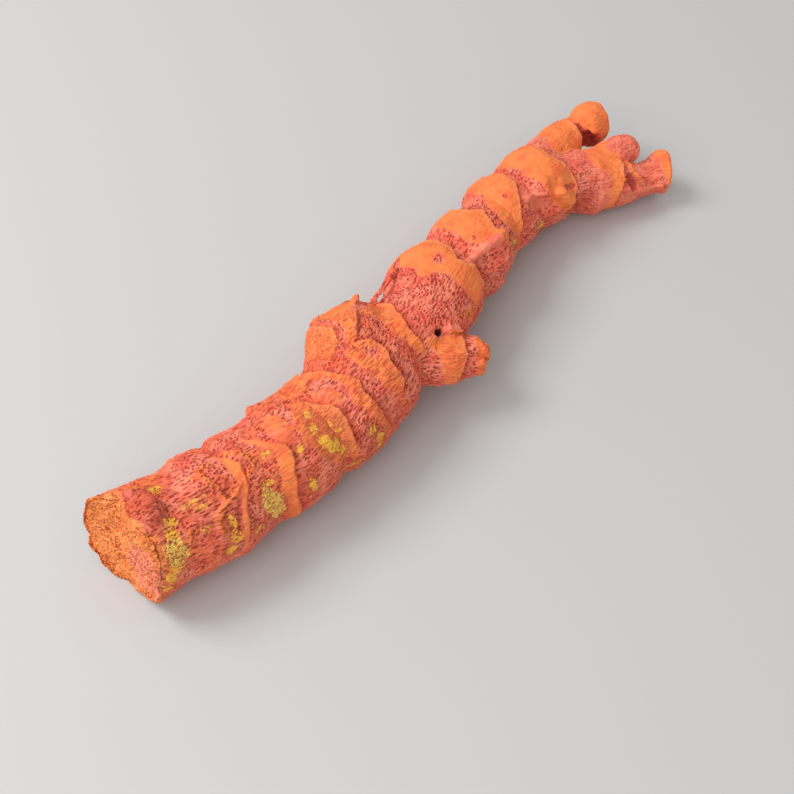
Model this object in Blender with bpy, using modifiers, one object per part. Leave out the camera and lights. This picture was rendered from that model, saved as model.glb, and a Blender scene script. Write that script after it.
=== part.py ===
"""A broken branch of red coral, lying on its side. The base end is at -X and the forked tips are at +X."""

import bisect
import math

import bmesh
import bpy
from mathutils import Matrix, Vector, noise

MM = 0.001

# Sizes and places below are in millimetres, and the table is at height 0. MIDDLE is the point on the
# table under the middle of the branch, which becomes the origin. Angles go round the stem in degrees,
# from straight up towards +Y.
MIDDLE = (-0.6, 0.5)
RING_POINTS = 56
RING_STEP = 0.9
SKIN_VOXEL = 0.7
SKIN_SMOOTHING = 1
TARGET_TRIANGLES = 8200
NODE_GAP = 0.3
LEFT_SIDE = 61.0
GRAIN = 0.35
GRAIN_REACH = 6.0
GRAIN_PITCH = 3.6

# The stem, from the base to the fork: x, y and z of its axis, and its radius towards the upper left
# and towards the lower right.
STEM = [
    (-60.5, -2.3, 8.5, 8.9, 8.9),
    (-57.3, -2.8, 8.4, 8.4, 9.1),
    (-54.2, -3.2, 8.3, 8.0, 8.9),
    (-51.2, -4.0, 8.3, 7.9, 8.9),
    (-48.4, -4.6, 8.3, 8.6, 8.8),
    (-45.0, -5.2, 8.3, 8.5, 8.9),
    (-43.2, -5.4, 8.2, 7.7, 8.4),
    (-41.6, -5.4, 8.1, 8.5, 8.2),
    (-39.4, -5.5, 8.0, 8.2, 8.0),
    (-36.6, -5.7, 8.1, 8.1, 8.6),
    (-33.4, -6.1, 8.4, 8.7, 8.6),
    (-29.8, -5.8, 8.3, 8.4, 8.4),
    (-27.9, -5.6, 8.2, 8.2, 7.8),
    (-24.5, -5.4, 8.5, 8.0, 9.5),
    (-20.8, -4.8, 8.8, 7.8, 9.5),
    (-17.3, -4.4, 9.1, 8.3, 9.0),
    (-13.9, -4.0, 9.3, 8.6, 8.7),
    (-9.6, -2.6, 9.5, 8.2, 7.3),
    (-6.3, -2.2, 9.7, 6.9, 8.2),
    (-4.1, -1.4, 9.8, 6.5, 8.6),
    (-0.5, -0.9, 10.0, 6.9, 8.4),
    (1.8, -0.1, 9.9, 7.5, 8.2),
    (4.8, 1.3, 9.6, 8.0, 8.8),
    (7.0, 2.0, 9.2, 7.8, 8.5),
    (9.6, 3.0, 8.8, 6.8, 6.7),
    (11.7, 3.5, 8.7, 6.2, 7.5),
    (14.4, 4.1, 8.9, 6.8, 8.5),
    (18.1, 4.7, 9.0, 6.9, 7.6),
    (23.4, 6.4, 8.3, 5.6, 6.9),
    (25.5, 6.7, 8.3, 6.9, 7.0),
    (28.0, 7.4, 8.2, 7.0, 7.4),
    (30.8, 8.3, 7.9, 5.7, 6.9),
    (35.8, 8.4, 7.6, 7.3, 7.7),
    (37.8, 7.8, 7.4, 7.5, 7.6),
    (41.0, 8.0, 7.2, 6.4, 5.8),
    (43.5, 8.0, 7.0, 4.8, 4.2),
]

# Each limb: x, y, z and radius along its axis, from inside what it grows from to its end.
LEFT_TIP = [
    (36.0, 9.9, 7.4, 4.8),
    (43.0, 11.3, 7.6, 4.5),
    (49.4, 12.6, 7.6, 3.7),
    (53.7, 12.5, 7.9, 3.0),
    (55.6, 12.2, 8.1, 3.9),
    (57.9, 11.8, 8.3, 3.4),
]
RIGHT_TIP = [
    (36.0, 7.6, 7.1, 6.4),
    (43.0, 5.4, 6.3, 5.7),
    (47.2, 3.9, 5.5, 5.6),
    (51.6, 0.2, 5.0, 4.4),
    (54.8, -1.5, 4.5, 3.2),
    (57.2, -2.3, 4.4, 3.3),
    (59.3, -3.1, 4.5, 4.1),
]
REAR_KNOB = [
    (46.0, 5.6, 6.2, 3.9),
    (50.7, 4.1, 7.5, 3.3),
    (53.6, 3.3, 8.4, 3.1),
    (55.6, 2.7, 8.7, 2.8),
]
SIDE_STUB = [
    (-9.0, -3.0, 9.0, 5.6),
    (-5.4, -6.6, 8.9, 4.8),
    (-2.6, -9.4, 8.5, 4.2),
    (0.0, -11.0, 8.3, 3.5),
    (1.0, -12.2, 8.2, 3.2),
    (1.6, -13.1, 8.1, 2.6),
]
LIMB_POINTS = 28
LIMB_RINGS = 4
LIMB_GRAIN = 0.25
LIMB_GRAIN_PITCH = 2.2
LIMB_DOME = 0.35
ROUND = 0.9
BLUNT = 0.25
SHARP = 0.12
DOME_TURNS = (30.0, 60.0, 82.0)
FLARE = 1.5
FLARE_SIDE = 60.0
FLARE_HALF = 70.0

# Lumps raised from the stem: x, angle, height, length towards the base, length towards the tips, and
# half width in degrees.
LUMPS = [
    (-13.3, 50.0, 4.0, 8.4, 7.8, 62.0),
    (-57.5, 4.0, 1.4, 3.5, 3.6, 22.0),
    (-59.6, -122.0, 0.5, 3.5, 3.0, 24.0),
    (-33.1, 64.0, 1.4, 1.5, 1.1, 11.0),
    (-30.5, 165.0, 0.6, 5.0, 4.0, 45.0),
    (17.0, -55.0, 0.9, 5.0, 2.2, 26.0),
    (33.6, -42.0, 1.3, 3.4, 2.2, 26.0),
]

# Growth collars round the stem: x of the step at each one's upper edge. The edge bulges towards the
# tips on the front side, and wanders round the stem.
COLLARS = [-56, -47.5, -40.5, -33, -25.5, -17.5, -9.5, -2.5, 5.5, 12.8, 19.6, 26.4, 33.8]
COLLAR_RISE = 1.0
COLLAR_SINK = 0.35
COLLAR_LENGTH = 5.2
COLLAR_FRONT = -29.0
COLLAR_BULGE = 1.4
COLLAR_WANDER = 1.3
COLLAR_START = 0.25
COLLAR_SLOPE = 0.6

# The broken base: how far its front leans in, the lip that stands out at its left, and its roughness.
BREAK_X = -59.5
BREAK_LEAN = 1.5
BREAK_LIP = 2.6
BREAK_LIP_SIDE = 105.0
BREAK_LIP_HALF = 85.0
BREAK_FADE = 9.0
BREAK_ROUGHNESS = 0.9
BREAK_REACH = 9.0
BREAK_PITCH = 2.5
BREAK_RINGS = [0.93, 0.8, 0.62, 0.42, 0.2]

# Thin growths on the upper side: each a row of points with a thickness.
SPUR = [(-12.2, 2.3, 14.4, 2.1), (-11.0, 2.8, 16.6, 1.5), (-9.6, 3.3, 18.5, 0.7)]
STRAND = [(-8.4, 2.6, 14.4, 0.7), (-4.1, 3.4, 16.1, 0.5), (0.6, 5.4, 15.0, 0.8)]
STRAND_POINTS = 8
STRAND_RINGS = 2

# The pit beside the side stub.
PIT_PLACE = (-1.5, -7.2, 13.6)
PIT_AIM = (-0.35, -0.4, 0.85)
PIT_RADIUS = 0.9
PIT_DEPTH = 3.0

# Planes that part the branch at its forks: a centre, a direction and the half sizes across and up.
FORK_PLANES = {
    "stem_cut": ((6.6, 1.9, 9.3), (0.93, 0.35, -0.1), 13.0, 13.0),
    "stub_cut": ((-2.4, -9.9, 8.6), (0.22, -0.975, 0.0), 7.0, 6.5),
    "left_tip_cut": ((52.4, 12.4, 8.1), (0.98, -0.05, 0.12), 4.4, 4.9),
    "right_tip_cut": ((50.6, 2.4, 5.7), (0.92, -0.38, -0.08), 6.3, 7.5),
}

# A point in the middle of each piece.
PIECES = {
    "lower_stem": (-30.0, -5.8, 8.0),
    "side_stub": (1.0, -11.6, 8.3),
    "upper_stem": (25.0, 6.7, 8.3),
    "left_tip": (56.0, 11.7, 9.2),
    "right_tip": (58.0, -2.4, 4.2),
}
COLOURS = {
    "lower_stem": (0.62, 0.13, 0.07),
    "side_stub": (0.72, 0.17, 0.06),
    "upper_stem": (0.66, 0.14, 0.07),
    "left_tip": (0.74, 0.18, 0.06),
    "right_tip": (0.68, 0.14, 0.08),
}
ROUGHNESS = 0.85


def clear_scene():
    for item in list(bpy.data.objects):
        bpy.data.objects.remove(item, do_unlink=True)


def new_collection(name, hidden=False):
    group = bpy.data.collections.new(name)
    group.hide_render = hidden
    bpy.context.scene.collection.children.link(group)
    return group


def values_at(rows, x):
    """The values of the rows at x, on a smooth curve through them."""
    i = bisect.bisect_right([row[0] for row in rows], x) - 1
    i = max(0, min(len(rows) - 2, i))
    before, low, high = rows[max(i - 1, 0)], rows[i], rows[i + 1]
    after = rows[min(i + 2, len(rows) - 1)]
    span = high[0] - low[0]
    t = min(max((x - low[0]) / span, 0.0), 1.0)
    values = []
    for k in range(1, len(low)):
        leave = (high[k] - before[k]) / (high[0] - before[0]) * span
        reach = (after[k] - low[k]) / (after[0] - low[0]) * span
        values.append(
            (2 * t**3 - 3 * t**2 + 1) * low[k]
            + (t**3 - 2 * t**2 + t) * leave
            + (3 * t**2 - 2 * t**3) * high[k]
            + (t**3 - t**2) * reach
        )
    return values


def turn_between(a, b):
    """The angle from b to a in degrees, between -180 and 180."""
    return (a - b + 180.0) % 360.0 - 180.0


def frame_of(tangent):
    """Left and up, square to the tangent."""
    left = Vector((-tangent.y, tangent.x, 0.0)).normalized()
    return left, tangent.cross(left).normalized()


def collar_height(x, angle):
    """Each collar is fullest a little above its lower edge, and ends in a step at its upper edge."""
    edge_x = x - COLLAR_BULGE * math.cos(math.radians(angle - COLLAR_FRONT))
    for number, edge in enumerate(COLLARS):
        wander = COLLAR_WANDER * math.sin(math.radians(angle * 2 + 100 * number))
        behind = (edge + wander - edge_x) / COLLAR_LENGTH
        if 0.0 <= behind <= 1.0:
            return COLLAR_RISE * min(1.0, behind / COLLAR_START) * (1.0 - behind) ** COLLAR_SLOPE
    return 0.0


def lump_height(x, angle):
    total = 0.0
    for place, side, height, back, ahead, half in LUMPS:
        reach = back if x < place else ahead
        away = math.hypot((x - place) / reach, turn_between(angle, side) / half)
        if away < 1.0:
            total += height * (1.0 - away**2) ** 1.5
    return total


def stem_radius(x, angle):
    left, right = values_at(STEM, x)[2:]
    side = math.cos(math.radians(angle - LEFT_SIDE))
    turn = math.radians(angle)
    place = Vector((x, GRAIN_REACH * math.cos(turn), GRAIN_REACH * math.sin(turn)))
    bare = (left + right) / 2 + (left - right) / 2 * side + GRAIN * noise.noise(place / GRAIN_PITCH)
    return bare + lump_height(x, angle) + collar_height(x, angle) - COLLAR_SINK


def stem_point(x, angle, share=1.0, shift=0.0):
    """A point at a share of the stem's radius from its axis."""
    y, z = values_at(STEM, x)[:2]
    ahead, behind = values_at(STEM, x + 0.5), values_at(STEM, x - 0.5)
    tangent = Vector((1.0, ahead[0] - behind[0], ahead[1] - behind[1])).normalized()
    left, up = frame_of(tangent)
    turn = math.radians(angle)
    out = left * math.sin(turn) + up * math.cos(turn)
    return Vector((x, y, z)) + out * (stem_radius(x, angle) * share) + tangent * shift


def break_shift(share, angle):
    """How far the broken face stands towards the tips, at a share of the radius."""
    lean = BREAK_LEAN * math.cos(math.radians(angle - COLLAR_FRONT))
    aside = turn_between(angle, BREAK_LIP_SIDE) / BREAK_LIP_HALF
    lip = BREAK_LIP * share**2 * max(0.0, 1.0 - aside**2)
    turn = math.radians(angle)
    place = Vector((math.cos(turn), math.sin(turn), 0.0)) * (share * BREAK_REACH)
    rough = noise.noise(place / BREAK_PITCH)
    return share * lean - lip + BREAK_ROUGHNESS * rough


def add_loft(shape, rings):
    """A closed skin through the rings, with each end filled."""
    made = [[shape.verts.new(point * MM) for point in ring] for ring in rings]
    for near, far in zip(made, made[1:]):
        for i, start in enumerate(near):
            j = (i + 1) % len(near)
            shape.faces.new((start, far[i], far[j], near[j]))
    shape.faces.new(made[0])
    shape.faces.new(reversed(made[-1]))


def angles(count):
    return [360.0 * i / count for i in range(count)]


def add_stem(shape):
    turns = angles(RING_POINTS)
    rings = [
        [stem_point(BREAK_X, turn, share, break_shift(share, turn)) for turn in turns]
        for share in reversed(BREAK_RINGS)
    ]
    end = STEM[-1][0]
    steps = round((end - BREAK_X) / RING_STEP)
    for i in range(steps + 1):
        x = BREAK_X + (end - BREAK_X) * i / steps
        fade = max(0.0, 1.0 - (x - BREAK_X) / BREAK_FADE)
        rings.append([stem_point(x, turn, 1.0, fade * break_shift(1.0, turn)) for turn in turns])
    add_loft(shape, rings)


def add_limb(shape, rows, dome=LIMB_DOME, flare=0.0, between=LIMB_RINGS, points=LIMB_POINTS, rough=LIMB_GRAIN):
    """A tapering limb. Its end is rounded over a share of its radius, and may flare on its left."""
    numbered = [(float(i), *row) for i, row in enumerate(rows)]
    steps = between * (len(rows) - 1)
    samples = [values_at(numbered, i / between) for i in range(steps + 1)]
    rings = []
    for i, (x, y, z, radius) in enumerate(samples):
        ahead, behind = samples[min(i + 1, steps)], samples[max(i - 1, 0)]
        tangent = (Vector(ahead[:3]) - Vector(behind[:3])).normalized()
        spread = flare * max(0.0, 2.0 * i / steps - 1.0) ** 3
        rings.append(limb_ring(Vector((x, y, z)), tangent, radius, points, rough, spread))
    for turn in DOME_TURNS:
        reach = dome * radius * math.sin(math.radians(turn))
        small = radius * (1.0 - dome + dome * math.cos(math.radians(turn)))
        rings.append(limb_ring(Vector((x, y, z)) + tangent * reach, tangent, small, points, rough, flare))
    add_loft(shape, rings)


def limb_ring(centre, tangent, radius, points, rough, flare):
    left, up = frame_of(tangent)
    ring = []
    for turn in angles(points):
        out = left * math.sin(math.radians(turn)) + up * math.cos(math.radians(turn))
        grain = noise.noise((centre + out * radius) / LIMB_GRAIN_PITCH)
        corner = flare * max(0.0, 1.0 - abs(turn_between(turn, FLARE_SIDE)) / FLARE_HALF)
        ring.append(centre + out * (radius + rough * grain + corner))
    return ring


def mesh_object(name, shape, group):
    bmesh.ops.recalc_face_normals(shape, faces=shape.faces[:])
    mesh = bpy.data.meshes.new(name)
    shape.to_mesh(mesh)
    shape.free()
    made = bpy.data.objects.new(name, mesh)
    group.objects.link(made)
    return made


def settle(item):
    """Replaces the object's mesh by what its modifiers make of it."""
    graph = bpy.context.evaluated_depsgraph_get()
    mesh = bpy.data.meshes.new_from_object(item.evaluated_get(graph))
    item.modifiers.clear()
    old = item.data
    item.data = mesh
    bpy.data.meshes.remove(old)


def grow_skin(group):
    """One skin over the stem and its limbs, thinned to flat facets."""
    shape = bmesh.new()
    add_stem(shape)
    add_limb(shape, LEFT_TIP, dome=BLUNT)
    add_limb(shape, RIGHT_TIP, dome=SHARP, flare=FLARE)
    add_limb(shape, SIDE_STUB)
    add_limb(shape, REAR_KNOB, dome=ROUND)
    coral = mesh_object("coral", shape, group)
    skin = coral.modifiers.new("skin", "REMESH")
    skin.mode = "VOXEL"
    skin.voxel_size = SKIN_VOXEL * MM
    soften = coral.modifiers.new("soften", "SMOOTH")
    soften.factor = 0.5
    soften.iterations = SKIN_SMOOTHING
    settle(coral)
    thin = coral.modifiers.new("thin", "DECIMATE")
    thin.ratio = TARGET_TRIANGLES / (2 * len(coral.data.polygons))
    settle(coral)
    return coral


def add_boolean(item, other, operation):
    cut = item.modifiers.new(other.name, "BOOLEAN")
    cut.object = other
    cut.operation = operation
    cut.solver = "EXACT"


def box(name, centre, direction, half_across, half_up, half_deep, group):
    shape = bmesh.new()
    bmesh.ops.create_cube(shape, size=2.0)
    made = mesh_object(name, shape, group)
    tangent = Vector(direction).normalized()
    left, up = frame_of(tangent)
    sides = (tangent * half_deep, left * half_across, up * half_up)
    turn = Matrix([[side[row] * MM for side in sides] for row in range(3)]).to_4x4()
    made.data.transform(Matrix.Translation(Vector(centre) * MM) @ turn)
    made.display_type = "WIRE"
    made.hide_render = True
    return made


def floor_cutter(group):
    """Removes what would sink into the table, so the branch rests on flats."""
    return box("floor", (0.0, 0.0, -10.0), (1.0, 0.0, 0.0), 60.0, 10.0, 90.0, group)


def pit_cutter(group):
    shape = bmesh.new()
    bmesh.ops.create_cone(
        shape,
        cap_ends=True,
        segments=12,
        radius1=0.35 * PIT_RADIUS * MM,
        radius2=1.4 * PIT_RADIUS * MM,
        depth=2 * PIT_DEPTH * MM,
    )
    made = mesh_object("pit", shape, group)
    made.location = Vector(PIT_PLACE) * MM
    made.rotation_euler = Vector(PIT_AIM).to_track_quat("Z", "Y").to_euler()
    made.display_type = "WIRE"
    made.hide_render = True
    return made


def thin_growth(name, rows, group):
    shape = bmesh.new()
    add_limb(shape, rows, ROUND, 0.0, STRAND_RINGS, STRAND_POINTS, 0.0)
    made = mesh_object(name, shape, group)
    made.display_type = "WIRE"
    made.hide_render = True
    return made


def piece_material(name):
    material = bpy.data.materials.new(name)
    material.use_nodes = True
    shader = material.node_tree.nodes["Principled BSDF"]
    shader.inputs["Base Color"].default_value = (*COLOURS[name], 1.0)
    shader.inputs["Roughness"].default_value = ROUGHNESS
    shader.inputs["Metallic"].default_value = 0.0
    return material


def loose_bodies(mesh):
    """The sets of faces that hang together."""
    shape = bmesh.new()
    shape.from_mesh(mesh)
    left, bodies = set(shape.faces), []
    while left:
        body, edge = set(), [left.pop()]
        while edge:
            face = edge.pop()
            body.add(face)
            near = {other for side in face.edges for other in side.link_faces}
            edge.extend(near & left)
            left -= near
        bodies.append([face.index for face in body])
    shape.free()
    return bodies


def part_at_forks(coral, group):
    """Each body that the fork planes leave becomes the piece that its centre is nearest to."""
    for faces in loose_bodies(coral.data):
        keep = set(faces)
        shape = bmesh.new()
        shape.from_mesh(coral.data)
        spare = [face for face in shape.faces if face.index not in keep]
        bmesh.ops.delete(shape, geom=spare, context="FACES")
        middle = sum((vert.co for vert in shape.verts), Vector()) / len(shape.verts) / MM
        name = min(PIECES, key=lambda piece: (Vector(PIECES[piece]) - middle).length)
        bmesh.ops.triangulate(shape, faces=shape.faces[:])
        made = mesh_object(name, shape, group)
        made.data.transform(Matrix.Translation((-MIDDLE[0] * MM, -MIDDLE[1] * MM, 0.0)))
        made.data.materials.clear()
        made.data.materials.append(piece_material(name))
    bpy.data.objects.remove(coral, do_unlink=True)


def main():
    clear_scene()
    parts = new_collection("red coral branch")
    cutters = new_collection("cutters", hidden=True)
    coral = grow_skin(parts)
    for name, rows in (("spur", SPUR), ("strand", STRAND)):
        add_boolean(coral, thin_growth(name, rows, cutters), "UNION")
    add_boolean(coral, pit_cutter(cutters), "DIFFERENCE")
    add_boolean(coral, floor_cutter(cutters), "DIFFERENCE")
    for name, (centre, direction, across, up) in FORK_PLANES.items():
        cutter = box(name, centre, direction, across, up, NODE_GAP / 2, cutters)
        add_boolean(coral, cutter, "DIFFERENCE")
    settle(coral)
    part_at_forks(coral, parts)


main()
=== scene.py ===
"""A broken branch of red coral: its porous red skin, orange collars, yellow crust and grains of sand."""

import bisect
import math

import bmesh
import bpy
import numpy as np
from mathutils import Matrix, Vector, noise


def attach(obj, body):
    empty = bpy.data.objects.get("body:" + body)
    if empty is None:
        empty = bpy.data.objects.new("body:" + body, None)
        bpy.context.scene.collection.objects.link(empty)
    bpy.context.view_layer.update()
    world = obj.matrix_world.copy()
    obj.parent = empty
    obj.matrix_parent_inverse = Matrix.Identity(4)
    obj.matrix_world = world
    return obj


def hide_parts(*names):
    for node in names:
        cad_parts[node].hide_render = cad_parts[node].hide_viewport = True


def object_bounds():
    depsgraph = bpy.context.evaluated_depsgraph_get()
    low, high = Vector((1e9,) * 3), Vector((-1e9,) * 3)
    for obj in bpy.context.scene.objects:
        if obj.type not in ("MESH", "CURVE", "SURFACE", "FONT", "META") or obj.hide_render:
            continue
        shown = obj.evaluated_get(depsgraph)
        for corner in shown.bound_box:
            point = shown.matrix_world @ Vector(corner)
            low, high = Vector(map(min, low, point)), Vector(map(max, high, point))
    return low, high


MM = 0.001
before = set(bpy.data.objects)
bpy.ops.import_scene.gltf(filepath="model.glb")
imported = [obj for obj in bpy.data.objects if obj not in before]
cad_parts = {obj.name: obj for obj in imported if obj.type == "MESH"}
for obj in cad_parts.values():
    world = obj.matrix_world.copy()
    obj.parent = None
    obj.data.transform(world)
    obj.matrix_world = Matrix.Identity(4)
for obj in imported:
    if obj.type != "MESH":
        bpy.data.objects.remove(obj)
cad_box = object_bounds()

# Lengths below are in millimetres. Rows and outlines are given in the branch's own axes, in which MIDDLE
# is the point on the table under the middle of the branch. Angles go round the stem in degrees, from
# straight up towards +Y.
MIDDLE = np.array([-0.6, 0.5, 0.0])
SKIN_VOXEL = 0.155
STEM_POINTS = 110
STEM_STEP = 0.45
SKIN_SINK = 0.22
# What meets at each fork, and how far from both the skin is rounded.
FORKS = (
    ("stem", "side_stub", 1.5),
    ("stem", "left_tip", 1.2),
    ("stem", "right_tip", 1.2),
    ("left_tip", "right_tip", 1.4),
    ("right_tip", "rear_knob", 0.8),
    ("stem", "spur", 0.5),
)
FORK_DEPTH = 0.8
FORK_SMOOTHING = 60
FAR_AWAY = 1e9
LEFT_SIDE = 61.0
GRAIN = 0.35
GRAIN_REACH = 6.0
GRAIN_PITCH = 3.6

# The stem, from the base to the fork: x, y and z of its axis, and its radius towards the upper left
# and towards the lower right.
STEM = [
    (-60.5, -2.3, 8.5, 8.9, 8.9),
    (-57.3, -2.8, 8.4, 8.4, 9.1),
    (-54.2, -3.2, 8.3, 8.0, 8.9),
    (-51.2, -4.0, 8.3, 7.9, 8.9),
    (-48.4, -4.6, 8.3, 8.6, 8.8),
    (-45.0, -5.2, 8.3, 8.5, 8.9),
    (-43.2, -5.4, 8.2, 7.7, 8.4),
    (-41.6, -5.4, 8.1, 8.5, 8.2),
    (-39.4, -5.5, 8.0, 8.2, 8.0),
    (-36.6, -5.7, 8.1, 8.1, 8.6),
    (-33.4, -6.1, 8.4, 8.7, 8.6),
    (-29.8, -5.8, 8.3, 8.4, 8.4),
    (-27.9, -5.6, 8.2, 8.2, 8.1),
    (-24.5, -5.4, 8.5, 8.0, 9.2),
    (-20.8, -4.8, 8.8, 7.8, 9.5),
    (-17.3, -4.4, 9.1, 8.3, 9.0),
    (-13.9, -4.0, 9.3, 8.6, 8.7),
    (-9.6, -2.6, 9.5, 8.2, 7.3),
    (-6.3, -2.2, 9.7, 6.9, 8.2),
    (-4.1, -1.4, 9.8, 6.5, 8.6),
    (-0.5, -0.9, 10.0, 6.9, 8.4),
    (1.8, -0.1, 9.9, 7.5, 8.2),
    (4.8, 1.3, 9.6, 8.0, 8.8),
    (7.0, 2.0, 9.2, 7.8, 8.5),
    (9.6, 3.0, 8.8, 6.8, 6.7),
    (11.7, 3.5, 8.7, 6.2, 7.5),
    (14.4, 4.1, 8.9, 6.8, 8.5),
    (18.1, 4.7, 9.0, 6.9, 7.6),
    (23.4, 6.4, 8.3, 5.6, 6.9),
    (25.5, 6.7, 8.3, 6.9, 7.0),
    (28.0, 7.4, 8.2, 7.0, 7.4),
    (30.8, 8.3, 7.9, 5.7, 6.9),
    (35.8, 8.4, 7.6, 7.3, 7.7),
    (37.8, 7.8, 7.4, 7.5, 7.6),
    (41.0, 8.0, 7.2, 6.4, 5.8),
    (43.5, 8.0, 7.0, 4.8, 4.2),
]

# Each limb: x, y, z and radius along its axis, from inside what it grows from to its end.
LIMBS = {
    "left_tip": [
        (36.0, 9.9, 7.4, 4.8),
        (43.0, 11.3, 7.6, 4.5),
        (49.4, 12.6, 7.6, 3.7),
        (53.7, 12.5, 7.9, 3.0),
        (55.6, 12.2, 8.1, 3.9),
        (58.3, 11.75, 8.15, 3.35),
    ],
    "right_tip": [
        (36.0, 7.6, 7.1, 6.4),
        (43.0, 5.4, 6.3, 5.7),
        (47.2, 3.9, 5.5, 5.6),
        (51.6, 0.2, 5.0, 4.4),
        (54.8, -1.5, 4.5, 3.2),
        (57.2, -2.3, 4.4, 3.0),
        (58.4, -2.75, 4.5, 3.3),
        (59.7, -3.2, 4.7, 3.8),
    ],
    "rear_knob": [
        (46.0, 5.6, 6.2, 3.9),
        (50.7, 4.1, 7.5, 3.3),
        (53.6, 3.3, 8.4, 3.1),
        (55.6, 2.7, 8.7, 2.8),
    ],
    "side_stub": [
        (-9.0, -3.0, 9.0, 5.6),
        (-5.4, -6.6, 8.9, 4.8),
        (-2.6, -9.4, 8.5, 4.2),
        (0.0, -11.0, 8.3, 3.5),
        (1.0, -12.2, 8.2, 3.2),
        (1.6, -13.1, 8.1, 2.6),
    ],
    "spur": [(-12.4, 2.3, 14.4, 1.9), (-11.1, 2.8, 16.7, 1.15), (-9.6, 3.3, 18.7, 0.4)],
    "strand": [(-8.4, 2.6, 14.4, 0.55), (-4.1, 3.4, 16.1, 0.45), (0.6, 5.4, 15.0, 0.6)],
}
# How far each limb's end is rounded, as a share of its radius, how far it flares on its left, and how far
# its edge on the side at the given angle reaches past its middle.
LIMB_ENDS = {
    "left_tip": (0.15, 0.0, 0.4, 61.0),
    "right_tip": (0.12, 0.2, 1.3, 35.0),
    "rear_knob": (0.9, 0.0, 0.0, 0.0),
}
LIMB_END = (0.35, 0.0, 0.0, 0.0)
# How rough a flat end is. A round one is less so.
END_GRAIN = 0.9
END_PITCH = 1.7
END_RINGS = (0.8, 0.6, 0.4, 0.2)
LIMB_POINTS = 40
LIMB_RINGS = 8
AXIS_STEPS = 4
LIMB_GRAIN = 0.25
LIMB_GRAIN_PITCH = 2.2
DOME_TURNS = (15.0, 30.0, 45.0, 60.0, 72.0, 82.0)
FLARE_SIDE = 60.0
FLARE_HALF = 70.0

# Lumps raised from the stem: x, angle, height, length towards the base, length towards the tips, and
# half width in degrees.
LUMPS = [
    (-13.3, 50.0, 4.0, 8.4, 7.8, 62.0),
    (-57.2, 4.0, 1.3, 3.0, 3.6, 20.0),
    (-56.3, -16.0, 0.9, 2.0, 3.6, 20.0),
    (-59.6, -122.0, 0.5, 3.5, 3.0, 24.0),
    (-33.2, 62.0, 0.9, 1.8, 3.2, 16.0),
    (-30.5, 165.0, 0.6, 5.0, 4.0, 45.0),
    (17.0, -55.0, 0.9, 5.0, 2.2, 26.0),
    (33.6, -42.0, 1.3, 3.4, 2.2, 26.0),
]

# The broken base: how far its front leans in, the lip that stands out at its left, and its roughness.
BREAK_X = -59.5
BREAK_FRONT = -29.0
BREAK_LEAN = 1.5
BREAK_LIP = 2.6
BREAK_LIP_SIDE = 105.0
BREAK_LIP_HALF = 85.0
BREAK_FADE = 9.0
BREAK_ROUGHNESS = 0.9
BREAK_REACH = 9.0
BREAK_PITCH = 2.5
BREAK_RINGS = [0.97, 0.9, 0.8, 0.7, 0.58, 0.45, 0.3, 0.15]

# The pit beside the side stub.
PIT_PLACE = np.array([-2.5, -7.4, 13.0])
PIT_AIM = np.array([-0.35, -0.4, 0.85])
PIT_RADIUS = 0.68
PIT_DEPTH = 1.7

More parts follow.
